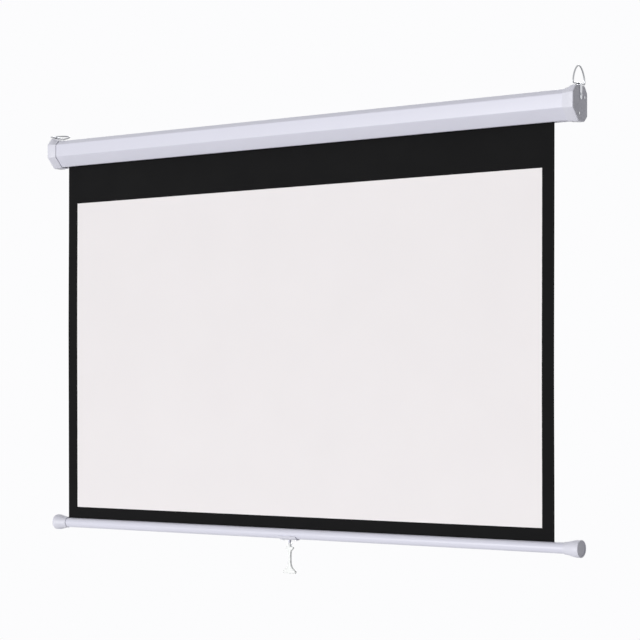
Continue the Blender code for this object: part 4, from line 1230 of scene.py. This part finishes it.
@dataclass
class Screws:
    """Zinc plated pan head screws with a cross recess.

    The rim, seat, root and recess reach are shares: of the head's height and its radius, of the
    shank's radius, and of the head's radius again.
    """

    bench: Bench
    head_radius: float = 0.0034
    head_height: float = 0.002
    rim: float = 0.45
    seat: float = 0.98
    dome_turns: tuple[float, ...] = (0.0, 0.25, 0.5, 0.8, 1.1, 1.35, QUARTER_TURN)
    shank_radius: float = 0.0016
    neck: float = 0.0002
    pitch: float = 0.0007
    root: float = 0.82
    recess_width: float = 0.0009
    recess_depth: float = 0.0012
    recess_reach: float = 0.7
    sides: int = 24
    meshes: dict[float, bpy.types.Mesh] = field(default_factory=dict)

    def head_and_shank(self, length: float) -> bpy.types.Mesh:
        """Make the mesh of a screw, with the underside of its head at the origin.

        Args:
            length: Length of the shank below the head.

        Returns:
            The mesh, made once for each length.
        """
        # Screws that agree to a tenth of a millimetre share a mesh
        key = round(length, 4)
        if key in self.meshes:
            return self.meshes[key]
        radius, height = self.head_radius, self.head_height
        tip, root = -length + self.shank_radius, self.root * self.shank_radius
        profile = [
            (height * (self.rim + (1.0 - self.rim) * cos(turn)), radius * sin(turn))
            for turn in self.dome_turns
        ]
        profile += [(0.0, radius * self.seat), (0.0, self.shank_radius)]
        along = -self.neck
        while along - self.pitch > tip:
            profile += [(along, root), (along - 0.5 * self.pitch, self.shank_radius)]
            along -= self.pitch
        profile += [(tip, root), (-length, 0.0)]
        screw = turned("screw", profile, self.sides)
        long, short = self.recess_reach * radius, 0.5 * self.recess_width
        low_z, high_z = height - self.recess_depth, height + self.recess_depth
        for x, y in ((long, short), (short, long)):
            combine(screw, box("recess_bar", (-x, -y, low_z), (x, y, high_z)))
        self.meshes[key] = screw.data
        bpy.data.objects.remove(screw, do_unlink=True)
        return self.meshes[key]

    def drive(self, node: str, turn: Point3, body: Body) -> None:
        """Set a screw where a node of the frame has one.

        Args:
            node: The node that it stands for.
            turn: Rotation that points its head outwards.
            body: Body that it moves with.
        """
        low, high = (Vector(corner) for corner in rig.box(node))
        outwards = Vector((sin(turn[1]), 0.0, cos(turn[0]) * cos(turn[1])))
        reach = abs((high - low).dot(outwards))
        mesh = self.head_and_shank(reach - self.head_height).copy()
        made = set_out(f"driven_{node}", mesh)
        made.location = 0.5 * (low + high) + outwards * (0.5 * reach - self.head_height)
        made.rotation_euler = turn
        self.bench.dress(made, Finishes.ZINC_PLATE, body, Crease.CRISP, node)

    def make(self) -> None:
        """Drive every screw of the screen."""
        for end in End:
            outwards = (0.0, end.value * QUARTER_TURN, 0.0)
            self.drive(f"strap_screw_{end.label}", outwards, Body.CASE)
            for number in (1, 2):
                self.drive(f"bracket_screw_{end.label}_{number}", outwards, Body.CASE)
                self.drive(f"casing_screw_{end.label}_{number}", (0.0, 0.0, 0.0), Body.CASE)
        for number in (1, 2):
            self.drive(f"saddle_screw_{number}", (pi, 0.0, 0.0), Body.BATTEN)


@dataclass
class Hanger:
    """D ring and the steel strap that hinges it on an end cap."""

    bench: Bench
    end: End
    face_x: float = 0.895
    inset: float = 0.005
    centre_y: float = -0.034
    cap_top: float = 0.047
    base_z: float = 0.0508
    wire: float = 0.0020
    wire_sides: int = 14
    half_width: float = 0.028
    height: float = 0.045
    left_fold: float = radians(88.0)
    corner: float = 0.004
    corner_steps: int = 7
    point: float = 1.7
    bow_steps: int = 48
    strap: float = 0.0012
    strap_width: float = 0.010
    strap_drop: float = 0.030
    strap_bend: float = 0.003
    strap_bend_steps: int = 8
    roll_end: float = 1.85 * pi
    roll_steps: int = 20
    foot_steps: int = 18

    def outline(self) -> list[Point2]:
        """Draw the ring's centre line: a straight base, two corners and a pointed bow.

        Returns:
            Its points as (distance from the ring's middle, height above its base).
        """
        foot, corner = self.half_width - self.corner, self.corner
        points = [(-foot, 0.0), (foot, 0.0)]
        points += arc((foot, corner), corner, -QUARTER_TURN, 0.0, self.corner_steps)[1:]
        for turn in spaced(0.0, pi, self.bow_steps)[1:-1]:
            rise = (self.height - corner) * sin(turn) ** (2.0 / self.point)
            across = self.half_width * powered(cos(turn), 2.0 / self.point)
            points.append((across, corner + rise))
        return points + arc((-foot, corner), corner, pi, 1.5 * pi, self.corner_steps)[:-1]

    def make(self) -> None:
        """Bend the ring and its strap."""
        self.make_ring()
        self.make_strap()

    def make_ring(self) -> None:
        """Bend the ring from round wire, the left one folded in over the casing."""
        x = self.end.value * (self.face_x - self.inset)
        fold = self.left_fold if self.end is End.LEFT else 0.0
        inwards, upwards = -self.end.value * sin(fold), cos(fold)
        points = [
            (x + rise * inwards, self.centre_y + across, self.base_z + rise * upwards)
            for across, rise in self.outline()
        ]
        label = self.end.label
        ring = bent_wire(f"bent_ring_{label}", points, self.wire, self.wire_sides)
        body, node = Body(f"{label}_ring"), f"d_ring_{label}"
        self.bench.dress(ring, Finishes.NICKEL_PLATE, body, Crease.WIRE, node)

    def make_strap(self) -> None:
        """Fold the strap down the cap's end and roll its top round the ring's base."""
        side, label = self.end.value, self.end.label
        eye = self.wire + FIT + 0.5 * self.strap
        out = self.inset + FIT + 0.5 * self.strap
        top = self.base_z + eye
        foot_z = self.cap_top - self.strap_drop
        corners = [(out, foot_z), (out, top), (0.0, top)]
        path = rounded(corners, self.strap_bend, self.strap_bend_steps, closed=False)
        path += arc((0.0, self.base_z), eye, QUARTER_TURN, self.roll_end, self.roll_steps)[1:]
        half = 0.5 * self.strap_width
        grid = bmesh.new()
        rows = [[(side * x, y, z) for x, z in path] for y in (-half, half)]
        low, high = skin(grid, rows, Skin.SHEET)
        foot = [
            grid.verts.new((side * out, across, foot_z + drop))
            for across, drop in arc((0.0, 0.0), half, pi, FULL_TURN, self.foot_steps)[1:-1]
        ]
        grid.faces.new([high[0], low[0], *foot])
        strap = from_grid(f"folded_strap_{label}", grid)
        strap.location = (side * (self.face_x - self.inset), self.centre_y, 0.0)
        thicken(strap, self.strap)
        node = f"hanger_strap_{label}"
        self.bench.dress(strap, Finishes.ZINC_PLATE, Body.CASE, Crease.PLAIN, node)


@dataclass
class ScreenSheet:
    """The cloth: white, with a black border printed on its front and a hem at its foot.

    It is made in two pieces that meet at the picture's lower edge. The lower one, with the
    bottom border and the hem, rides up with the batten, and the one above it flattens.
    """

    bench: Bench
    width: float = 1.665
    picture_width: float = 1.594
    picture_top: float = -0.148
    picture_bottom: float = -1.045
    border_bottom: float = -1.0805
    top: float = 0.0027
    y: float = -0.02845
    thickness: float = 0.0005
    hem_radius: float = 0.00395
    hem_top: float = -1.0838
    hem_z: float = -1.085
    hem_steps: int = 24
    seam: float = 0.00001
    edge_curl: float = 0.0022
    curl_start: float = 0.1
    curl_power: int = 5
    ripple: float = 0.2
    ripple_along: float = 9.0
    ripple_across: float = 2.0
    lead: float = 0.0004
    lead_length: float = 0.16
    travel: float = 1.0265
    top_rows: int = 6
    picture_rows: int = 30
    picture_columns: int = 36
    border_cuts: int = 3
    # A face whose normal points this much to the wall is at the back
    back_normal: float = 0.5

    def columns(self) -> list[float]:
        """Give the places across the cloth where its mesh is cut, the border lines among them.

        Returns:
            The places from left to right, from the cloth's middle.
        """
        inner = 0.5 * self.picture_width
        border = spaced(inner, 0.5 * self.width, self.border_cuts)
        middle = spaced(-inner, inner, self.picture_columns)
        return [-x for x in reversed(border)] + middle[1:-1] + border

    def curl(self, x: float, z: float) -> float:
        """Give how far the cloth stands forward of its plane, which is most at its side edges.

        Args:
            x: Distance from the cloth's middle.
            z: Height.

        Returns:
            The distance along Y, negative where the cloth is forward.
        """
        share = (self.top - z) / (self.top - self.border_bottom)
        below = (share - self.curl_start) / (1.0 - self.curl_start)
        hang = sin(pi * max(0.0, min(1.0, below))) ** 2
        wave = sin(self.ripple_along * share + self.ripple_across * x)
        even = 1.0 - self.ripple + self.ripple * wave
        return -self.edge_curl * hang * even * abs(2.0 * x / self.width) ** self.curl_power

    def row(self, z: float) -> list[Point3]:
        """Give the cloth's points at a height, a little to the back near the roller."""
        lead = self.lead * max(0.0, 1.0 - (self.top - z) / self.lead_length)
        return [(SHEET_MIDDLE_X + x, self.y + lead + self.curl(x, z), z) for x in self.columns()]

    def hem_line(self) -> list[Point2]:
        """Give the hem's section, round the rod.

        Returns:
            Its points as (Y, Z).
        """
        gap = self.thickness + FIT
        closing = acos((self.hem_radius - gap) / self.hem_radius)
        centre = (self.y - self.hem_radius, self.hem_z)
        return arc(centre, self.hem_radius, 0.0, -FULL_TURN + closing, self.hem_steps)

    def print_border(self, cloth: Piece) -> None:
        """Print the black border on the front of the cloth and on its cut edges.

        Args:
            cloth: A dressed piece of the cloth.
        """
        cloth.data.materials.append(self.bench.material(Finishes.MASKING_INK))
        for face in cloth.data.polygons:
            x, _, z = face.center
            beside = abs(x - SHEET_MIDDLE_X) >= 0.5 * self.picture_width
            in_picture = not beside and self.picture_bottom < z < self.picture_top
            at_back = face.normal.y >= self.back_normal
            if not at_back and z > self.border_bottom and not in_picture:
                face.material_index = 1

    def make(self) -> None:
        """Hang the cloth, print its border and sew its hem round the rod."""
        heights = spaced(self.top, self.picture_top, self.top_rows)[:-1]
        heights += spaced(self.picture_top, self.picture_bottom, self.picture_rows)[:-1]
        upper = [self.row(z) for z in [*heights, self.picture_bottom]]
        heights = spaced(self.picture_bottom - self.seam, self.border_bottom, self.border_cuts)
        lower = [self.row(z) for z in [*heights, self.hem_top]]
        lower += [
            [(SHEET_MIDDLE_X + x, y, z) for x in self.columns()] for y, z in self.hem_line()
        ]
        cloth = surface("projection_sheet", upper, Skin.SHEET)
        hem = surface("hemmed_border", lower, Skin.SHEET)
        for piece, body, nodes in (
            (cloth, Body.CASE, ("viewing_sheet", "black_masking")),
            (hem, Body.BATTEN, ()),
        ):
            thicken(piece, self.thickness)
            self.bench.dress(piece, Finishes.PROJECTION_CLOTH, body, Crease.CLOTH, *nodes)
            self.print_border(piece)
        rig.sheet(
            cloth,
            flat=(self.width, self.top - self.hem_z + 2.0 * pi * self.hem_radius),
            held="hung",
            rests_on=["roller_tube", "hem_rod"],
            with_pieces=[hem],
        )
        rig.squash(
            cloth,
            "screen_pull",
            axis=(0.0, 0.0, 1.0),
            anchor=(SHEET_MIDDLE_X, self.y, self.top),
            keep=1.0 - self.travel / (self.top - self.picture_bottom),
        )


@dataclass
class Batten:
    """Round coated tube at the foot of the sheet with a bell shaped cap on each end."""

    bench: Bench
    centre: Point2 = (-0.02845, -1.092)
    radius: float = 0.014
    wall: float = 0.0012
    slot: float = 0.003
    tube_steps: int = 96
    end_x: float = 0.895
    cap_length: float = 0.046
    cap_lap: float = 0.024
    cap_wall: float = 0.0016
    cap_radius: float = 0.022
    cap_recess: float = 0.002
    cap_edge: float = 0.0015
    cap_edge_steps: int = 4
    cap_rim: float = 0.0035
    rim_edge: float = 0.0003
    rim_slope: float = 0.0005
    mouth_edge: float = 0.0005
    flare_share: float = 0.85
    flare_steps: int = 22
    cap_sides: int = 72

    def make(self) -> None:
        """Make the tube and both caps."""
        self.make_tube()
        for end in End:
            self.make_cap(end)

    def make_tube(self) -> None:
        """Roll the tube, open along its top for the sheet."""
        mid = self.radius - 0.5 * self.wall
        lean = asin(0.5 * (self.slot + self.wall) / mid)
        path = arc(self.centre, mid, 0.5 * pi + lean, 2.5 * pi - lean, self.tube_steps)
        half = self.end_x - self.cap_length + self.cap_lap
        tube = ribbon("rolled_batten", path, half, self.wall)
        self.bench.dress(tube, Finishes.POWDER_COAT, Body.BATTEN, Crease.ROLLED, "batten_tube")

    def cap_profile(self) -> list[Point2]:
        """Draw a cap's section from the middle of its end face back to its socket.

        Returns:
            The section's points as (distance along X, radius).
        """
        mouth_x = self.end_x - self.cap_length
        mouth = self.radius + FIT + self.cap_wall
        flare = [
            (
                mouth_x + (self.cap_length - self.cap_edge) * share,
                mouth + (self.cap_radius - mouth) * swell(share, self.flare_share),
            )
            for share in spaced(0.0, 1.0, self.flare_steps)
        ]
        rim, edge = self.cap_radius - self.cap_rim, self.rim_edge
        floor = self.end_x - self.cap_recess
        face = [(floor, 0.0), (floor, rim - 2.0 * self.rim_slope)]
        face += [(floor + edge, rim - self.rim_slope)]
        face += [(self.end_x - edge, rim), (self.end_x, rim + edge)]
        face += [
            (self.end_x - self.cap_edge * back, self.cap_radius - self.cap_edge * low)
            for low, back in quarter(self.cap_edge_steps)
        ]
        bore = self.radius + FIT
        seat = mouth_x + self.cap_lap + FIT
        hollow = self.radius - self.wall
        back = floor - 2.0 * self.cap_wall
        lip = [(mouth_x + self.mouth_edge, mouth), (mouth_x, mouth - self.mouth_edge)]
        socket = [(mouth_x, bore), (seat, bore), (seat, hollow), (back, hollow), (back, 0.0)]
        return face + flare[-2:0:-1] + lip + socket

    def make_cap(self, end: End) -> None:
        """Mould the bell shaped cap of one end.

        Args:
            end: The end that it closes.
        """
        cap = turned(f"bell_cap_{end.label}", self.cap_profile(), self.cap_sides)
        cap.location = (0.0, *self.centre)
        cap.rotation_euler = (0.0, end.value * QUARTER_TURN, 0.0)
        node = f"batten_cap_{end.label}"
        self.bench.dress(cap, Finishes.MOULDED_ABS, Body.BATTEN, Crease.CRISP, node)


@dataclass
class PullHandle:
    """Saddle under the batten, wire link and the waisted pull handle.

    The lug sinks into the saddle by all but a share of its wall, and the barrel narrows to a
    share of its radius where it joins the handle. An eye's cutter is wider than what it bores.
    """

    bench: Bench
    batten: Batten
    saddle_half: float = 0.030
    saddle_wall: float = 0.0025
    saddle_angle: float = radians(68.0)
    saddle_steps: int = 41
    saddle_edge: float = 0.0007
    lug_wall: float = 0.004
    lug_radius: float = 0.004
    lug_z: float = -1.1133
    lug_gap: float = 0.4
    link_wire: float = 0.0011
    link_half: float = 0.0072
    link_bend_steps: int = 7
    link_sides: int = 12
    handle_z: float = -1.1223
    handle_edge: float = 0.0006
    hole_play: float = 0.0005
    eye_steps: int = 24
    eye_reach: float = 4.0
    barrel_radius: float = 0.0042
    barrel_width: float = 0.006
    barrel_neck: float = 0.75
    sides: int = 40
    roundness: float = 0.7
    station_steps: int = 4
    # Distance below the barrel's centre, half width and half depth of the handle's sections
    stations: tuple[Point3, ...] = (
        (0.0044, 0.0105, 0.0030),
        (0.0056, 0.0132, 0.0040),
        (0.0092, 0.0136, 0.0044),
        (0.0125, 0.0105, 0.0044),
        (0.0170, 0.0062, 0.0042),
        (0.0250, 0.0046, 0.0040),
        (0.0400, 0.0044, 0.0040),
        (0.0530, 0.0056, 0.0042),
        (0.0610, 0.0098, 0.0046),
        (0.0670, 0.0170, 0.0052),
        (0.0710, 0.0212, 0.0056),
        (0.0750, 0.0218, 0.0054),
        (0.0778, 0.0196, 0.0036),
    )

    def make(self) -> None:
        """Make the saddle, the link and the handle."""
        self.make_saddle()
        self.make_link()
        self.make_handle()

    def place(self, z: float) -> Point3:
        """Give the place at a height, straight below the sheet's middle."""
        return (SHEET_MIDDLE_X, self.batten.centre[0], z)

    def add_eye(self, piece: Piece, outline: Outline, width: float, z: float) -> None:
        """Join a block on to a piece, and bore the eye through it that the link runs in.

        Args:
            piece: The saddle or the handle.
            outline: The block's section in the YZ plane, round the eye's middle.
            width: The block's width along X.
            z: Height of the eye.
        """
        block = loft("eye_block", [(-0.5 * width, outline), (0.5 * width, outline)])
        block.location = self.place(z)
        combine(piece, block, Merge.JOIN)
        radius = self.link_wire + self.hole_play
        grid = bmesh.new()
        bmesh.ops.create_cone(
            grid,
            cap_ends=True,
            segments=self.eye_steps,
            radius1=radius,
            radius2=radius,
            depth=self.eye_reach * width,
        )
        eye = from_grid("eye_bore", grid)
        eye.location = self.place(z)
        eye.rotation_euler = (0.0, QUARTER_TURN, 0.0)
        combine(piece, eye)

    def make_saddle(self) -> None:
        """Mould the saddle that hugs the batten, with the lug that carries the link."""
        z, tube = self.batten.centre[1], self.batten.radius
        mid = tube + FIT + 0.5 * self.saddle_wall
        start = -QUARTER_TURN - self.saddle_angle
        end = start + 2.0 * self.saddle_angle
        path = arc((0.0, 0.0), mid, start, end, self.saddle_steps)
        saddle = ribbon("moulded_saddle", path, self.saddle_half, self.saddle_wall)
        saddle.location = self.place(z)
        soften(saddle, self.saddle_edge)
        top = -self.lug_z + z - tube - FIT - self.lug_gap * self.saddle_wall
        outline = arc((0.0, 0.0), self.lug_radius, pi, FULL_TURN, self.eye_steps)
        outline += [(self.lug_radius, top), (-self.lug_radius, top)]
        self.add_eye(saddle, outline, self.lug_wall, self.lug_z)
        self.bench.dress(
            saddle, Finishes.MOULDED_ABS, Body.BATTEN, Crease.CRISP, "handle_saddle"
        )

    def make_link(self) -> None:
        """Bend the link from zinc plated wire."""
        half, top, foot = self.link_half, self.lug_z, self.handle_z
        corners = [(-half, top), (half, top), (half, foot), (-half, foot)]
        path = rounded(corners, 2.0 * self.link_wire, self.link_bend_steps)
        y = self.batten.centre[0]
        points = [(SHEET_MIDDLE_X + x, y, z) for x, z in path]
        link = bent_wire("bent_link", points, self.link_wire, self.link_sides)
        self.bench.dress(link, Finishes.ZINC_PLATE, Body.LINK, Crease.WIRE, "handle_link")

    def make_handle(self) -> None:
        """Mould the handle: a flared top, a slim waist and a wide foot."""
        around = [
            (powered(cos(turn), self.roundness), powered(sin(turn), self.roundness))
            for turn in spaced(0.0, FULL_TURN, self.sides)[:-1]
        ]
        rings = [
            [(half_width * x, half_depth * y, -drop) for x, y in around]
            for drop, half_width, half_depth in eased(self.stations, self.station_steps)
        ]
        handle = surface("moulded_handle", rings, Skin.SOLID)
        handle.location = self.place(self.handle_z)
        soften(handle, self.handle_edge)
        half, neck_z = self.barrel_neck * self.barrel_radius, -self.stations[1][0]
        outline = arc((0.0, 0.0), self.barrel_radius, 0.0, pi, self.eye_steps)
        outline += [(-half, neck_z), (half, neck_z)]
        self.add_eye(handle, outline, self.barrel_width, self.handle_z)
        self.bench.dress(
            handle, Finishes.POLYPROPYLENE, Body.HANDLE, Crease.PLAIN, "pull_handle"
        )


@dataclass
class Works:
    """The roller and spring motor inside the casing, which keep their frame solids."""

    bench: Bench

    def make(self) -> None:
        """Give each inner node the finish of what it is made of."""
        recolour = self.bench.recolour
        recolour(Finishes.EXTRUDED_ALUMINIUM, "roller_tube")
        recolour(Finishes.PROJECTION_CLOTH, "sheet_wraps")
        recolour(Finishes.SPRING_WIRE, "torsion_spring")
        recolour(Finishes.NATURAL_NYLON, "drive_plug", "idler_plug", "idler_bush")
        recolour(Finishes.NATURAL_NYLON, "sheet_spline", "spring_anchor", "hem_rod")
        recolour(Finishes.ZINC_PLATE, "bracket_left", "bracket_right", "spindle")
        recolour(Finishes.ZINC_PLATE, "ratchet_wheel", "idler_pin", "pawl_upper", "pawl_lower")
        recolour(Finishes.ZINC_PLATE, "pawl_pin_upper", "pawl_pin_lower")


# --------------------------------------------------------------------------- studio


@dataclass(frozen=True)
class Lamp:
    """A distant soft lamp."""

    name: str
    towards: Point3
    strength: float
    spread: float

    def hang(self) -> None:
        """Hang the lamp so that it shines the given way."""
        light = bpy.data.lights.new(self.name, "SUN")
        light.energy = self.strength
        light.angle = self.spread
        lamp = set_out(self.name, light)
        lamp.rotation_euler = Vector(self.towards).to_track_quat("-Z", "Y").to_euler()


@dataclass
class Studio:
    """Pale floor, white surroundings, soft lamps and a camera fitted to the photograph.

    To the eye the floor is part matt paper, which takes the shadow, and part plain glow. Further
    out it is all glow, so that it ends in the white around it.
    """

    floor_z: float = -2.3
    floor_half: float = 3.2
    fade_from: float = 2.6
    fade_to: float = 3.8
    glow: float = 0.6
    paper: str = "#FCFCFD"
    surround: float = 0.27
    camera_place: Point3 = (3.4199, -4.4224, -0.7110)
    camera_yaw: float = radians(37.172)
    camera_reach: float = 100.0
    focal_pixels: float = 2047.0
    horizon_pixel: float = 393.9
    lamps: tuple[Lamp, ...] = (
        Lamp("front_lamp", (0.30, 0.95, 0.02), 2.30, radians(24.0)),
        Lamp("rear_lamp", (0.25, -0.80, -0.55), 1.4, radians(30.0)),
    )

    def make(self) -> None:
        """Set up the floor, the surroundings, the lamps and the camera."""
        self.lay_floor()
        self.light_world()
        for lamp in self.lamps:
            lamp.hang()
        self.stand_camera()
        bpy.context.scene.view_settings.view_transform = "Standard"

    def seen(self, tree: Tree) -> Socket:
        """Give 1 for rays that the eye sees directly, in a gloss or through glass.

        Args:
            tree: Node tree that takes the nodes.

        Returns:
            The socket that gives it.
        """
        path = add_node(tree, "ShaderNodeLightPath").outputs
        made = path["Is Camera Ray"]
        for kind in ("Is Glossy Ray", "Is Transmission Ray"):
            inputs = {0: made, 1: path[kind]}
            made = add_node(tree, "ShaderNodeMath", {"operation": "MAXIMUM"}, inputs).outputs[0]
        return made

    def lay_floor(self) -> None:
        """Lay a pale floor that turns to the white of its surroundings further out."""
        mesh = bpy.data.meshes.new("studio_floor")
        half = self.floor_half
        corners = [(-half, -half), (half, -half), (half, half), (-half, half)]
        mesh.from_pydata([(x, y, self.floor_z) for x, y in corners], [], [(0, 1, 2, 3)])
        floor = set_out("studio_floor", mesh)
        made = bpy.data.materials.new("studio_paper")
        tree = emptied(made)
        colour = linear(self.paper)
        matt = add_node(tree, "ShaderNodeBsdfDiffuse", inputs={"Color": colour})
        glow = add_node(tree, "ShaderNodeEmission", inputs={"Color": colour, "Strength": 1.0})
        place = add_node(tree, "ShaderNodeNewGeometry").outputs["Position"]
        far = add_node(tree, "ShaderNodeVectorMath", {"operation": "LENGTH"}, {0: place})
        fade = add_node(
            tree,
            "ShaderNodeMapRange",
            inputs={
                "Value": far.outputs["Value"],
                "From Min": self.fade_from,
                "From Max": self.fade_to,
                "To Min": self.glow,
                "To Max": 1.0,
            },
        )
        inputs = {0: fade.outputs["Result"], 1: self.seen(tree)}
        share = add_node(tree, "ShaderNodeMath", {"operation": "MULTIPLY"}, inputs)
        inputs = {0: share.outputs["Value"], 1: matt.outputs["BSDF"], 2: glow.outputs["Emission"]}
        mix = add_node(tree, "ShaderNodeMixShader", inputs=inputs)
        add_node(tree, "ShaderNodeOutputMaterial", inputs={"Surface": mix.outputs["Shader"]})
        mesh.materials.append(made)
        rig.stage(floor)

    def light_world(self) -> None:
        """Light the screen evenly from all round, with white where the eye sees past it."""
        world = bpy.data.worlds.new("studio")
        tree = emptied(world)
        inputs = {"Value": self.seen(tree), "To Min": self.surround, "To Max": 1.0}
        strength = add_node(tree, "ShaderNodeMapRange", inputs=inputs).outputs["Result"]
        inputs = {"Color": linear(self.paper), "Strength": strength}
        light = add_node(tree, "ShaderNodeBackground", inputs=inputs).outputs["Background"]
        add_node(tree, "ShaderNodeOutputWorld", inputs={"Surface": light})
        bpy.context.scene.world = world

    def stand_camera(self) -> None:
        """Stand the camera where the sheet's corners fall as they do in the photograph."""
        data = bpy.data.cameras.new("camera")
        data.lens = self.focal_pixels / PICTURE_PIXELS * data.sensor_width
        data.shift_y = (self.horizon_pixel - 0.5 * PICTURE_PIXELS) / PICTURE_PIXELS
        data.clip_end = self.camera_reach
        camera = set_out("camera", data)
        camera.location = self.camera_place
        camera.rotation_euler = (QUARTER_TURN, 0.0, self.camera_yaw)
        bpy.context.scene.camera = camera


def plain(box_corners: Any) -> list[list[float]]:
    """Turn a box's two corners into plain lists of numbers."""
    return [[float(number) for number in corner] for corner in box_corners]


def main() -> None:
    """Build and dress the whole screen, and keep its boxes."""
    logging.basicConfig(level=logging.INFO, format="%(message)s")
    bench = Bench()
    Studio().make()
    casing = Casing(bench)
    casing.make()
    for end in End:
        EndCap(bench, casing, end).make()
        Hanger(bench, end).make()
    ScreenSheet(bench).make()
    batten = Batten(bench)
    batten.make()
    PullHandle(bench, batten).make()
    Screws(bench).make()
    Works(bench).make()
    with open(SIZE_FILE, "w") as out:
        json.dump({"cad": plain(bench.cad_box), "visual": plain(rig.bounds())}, out)


if __name__ == "__main__":
    main()
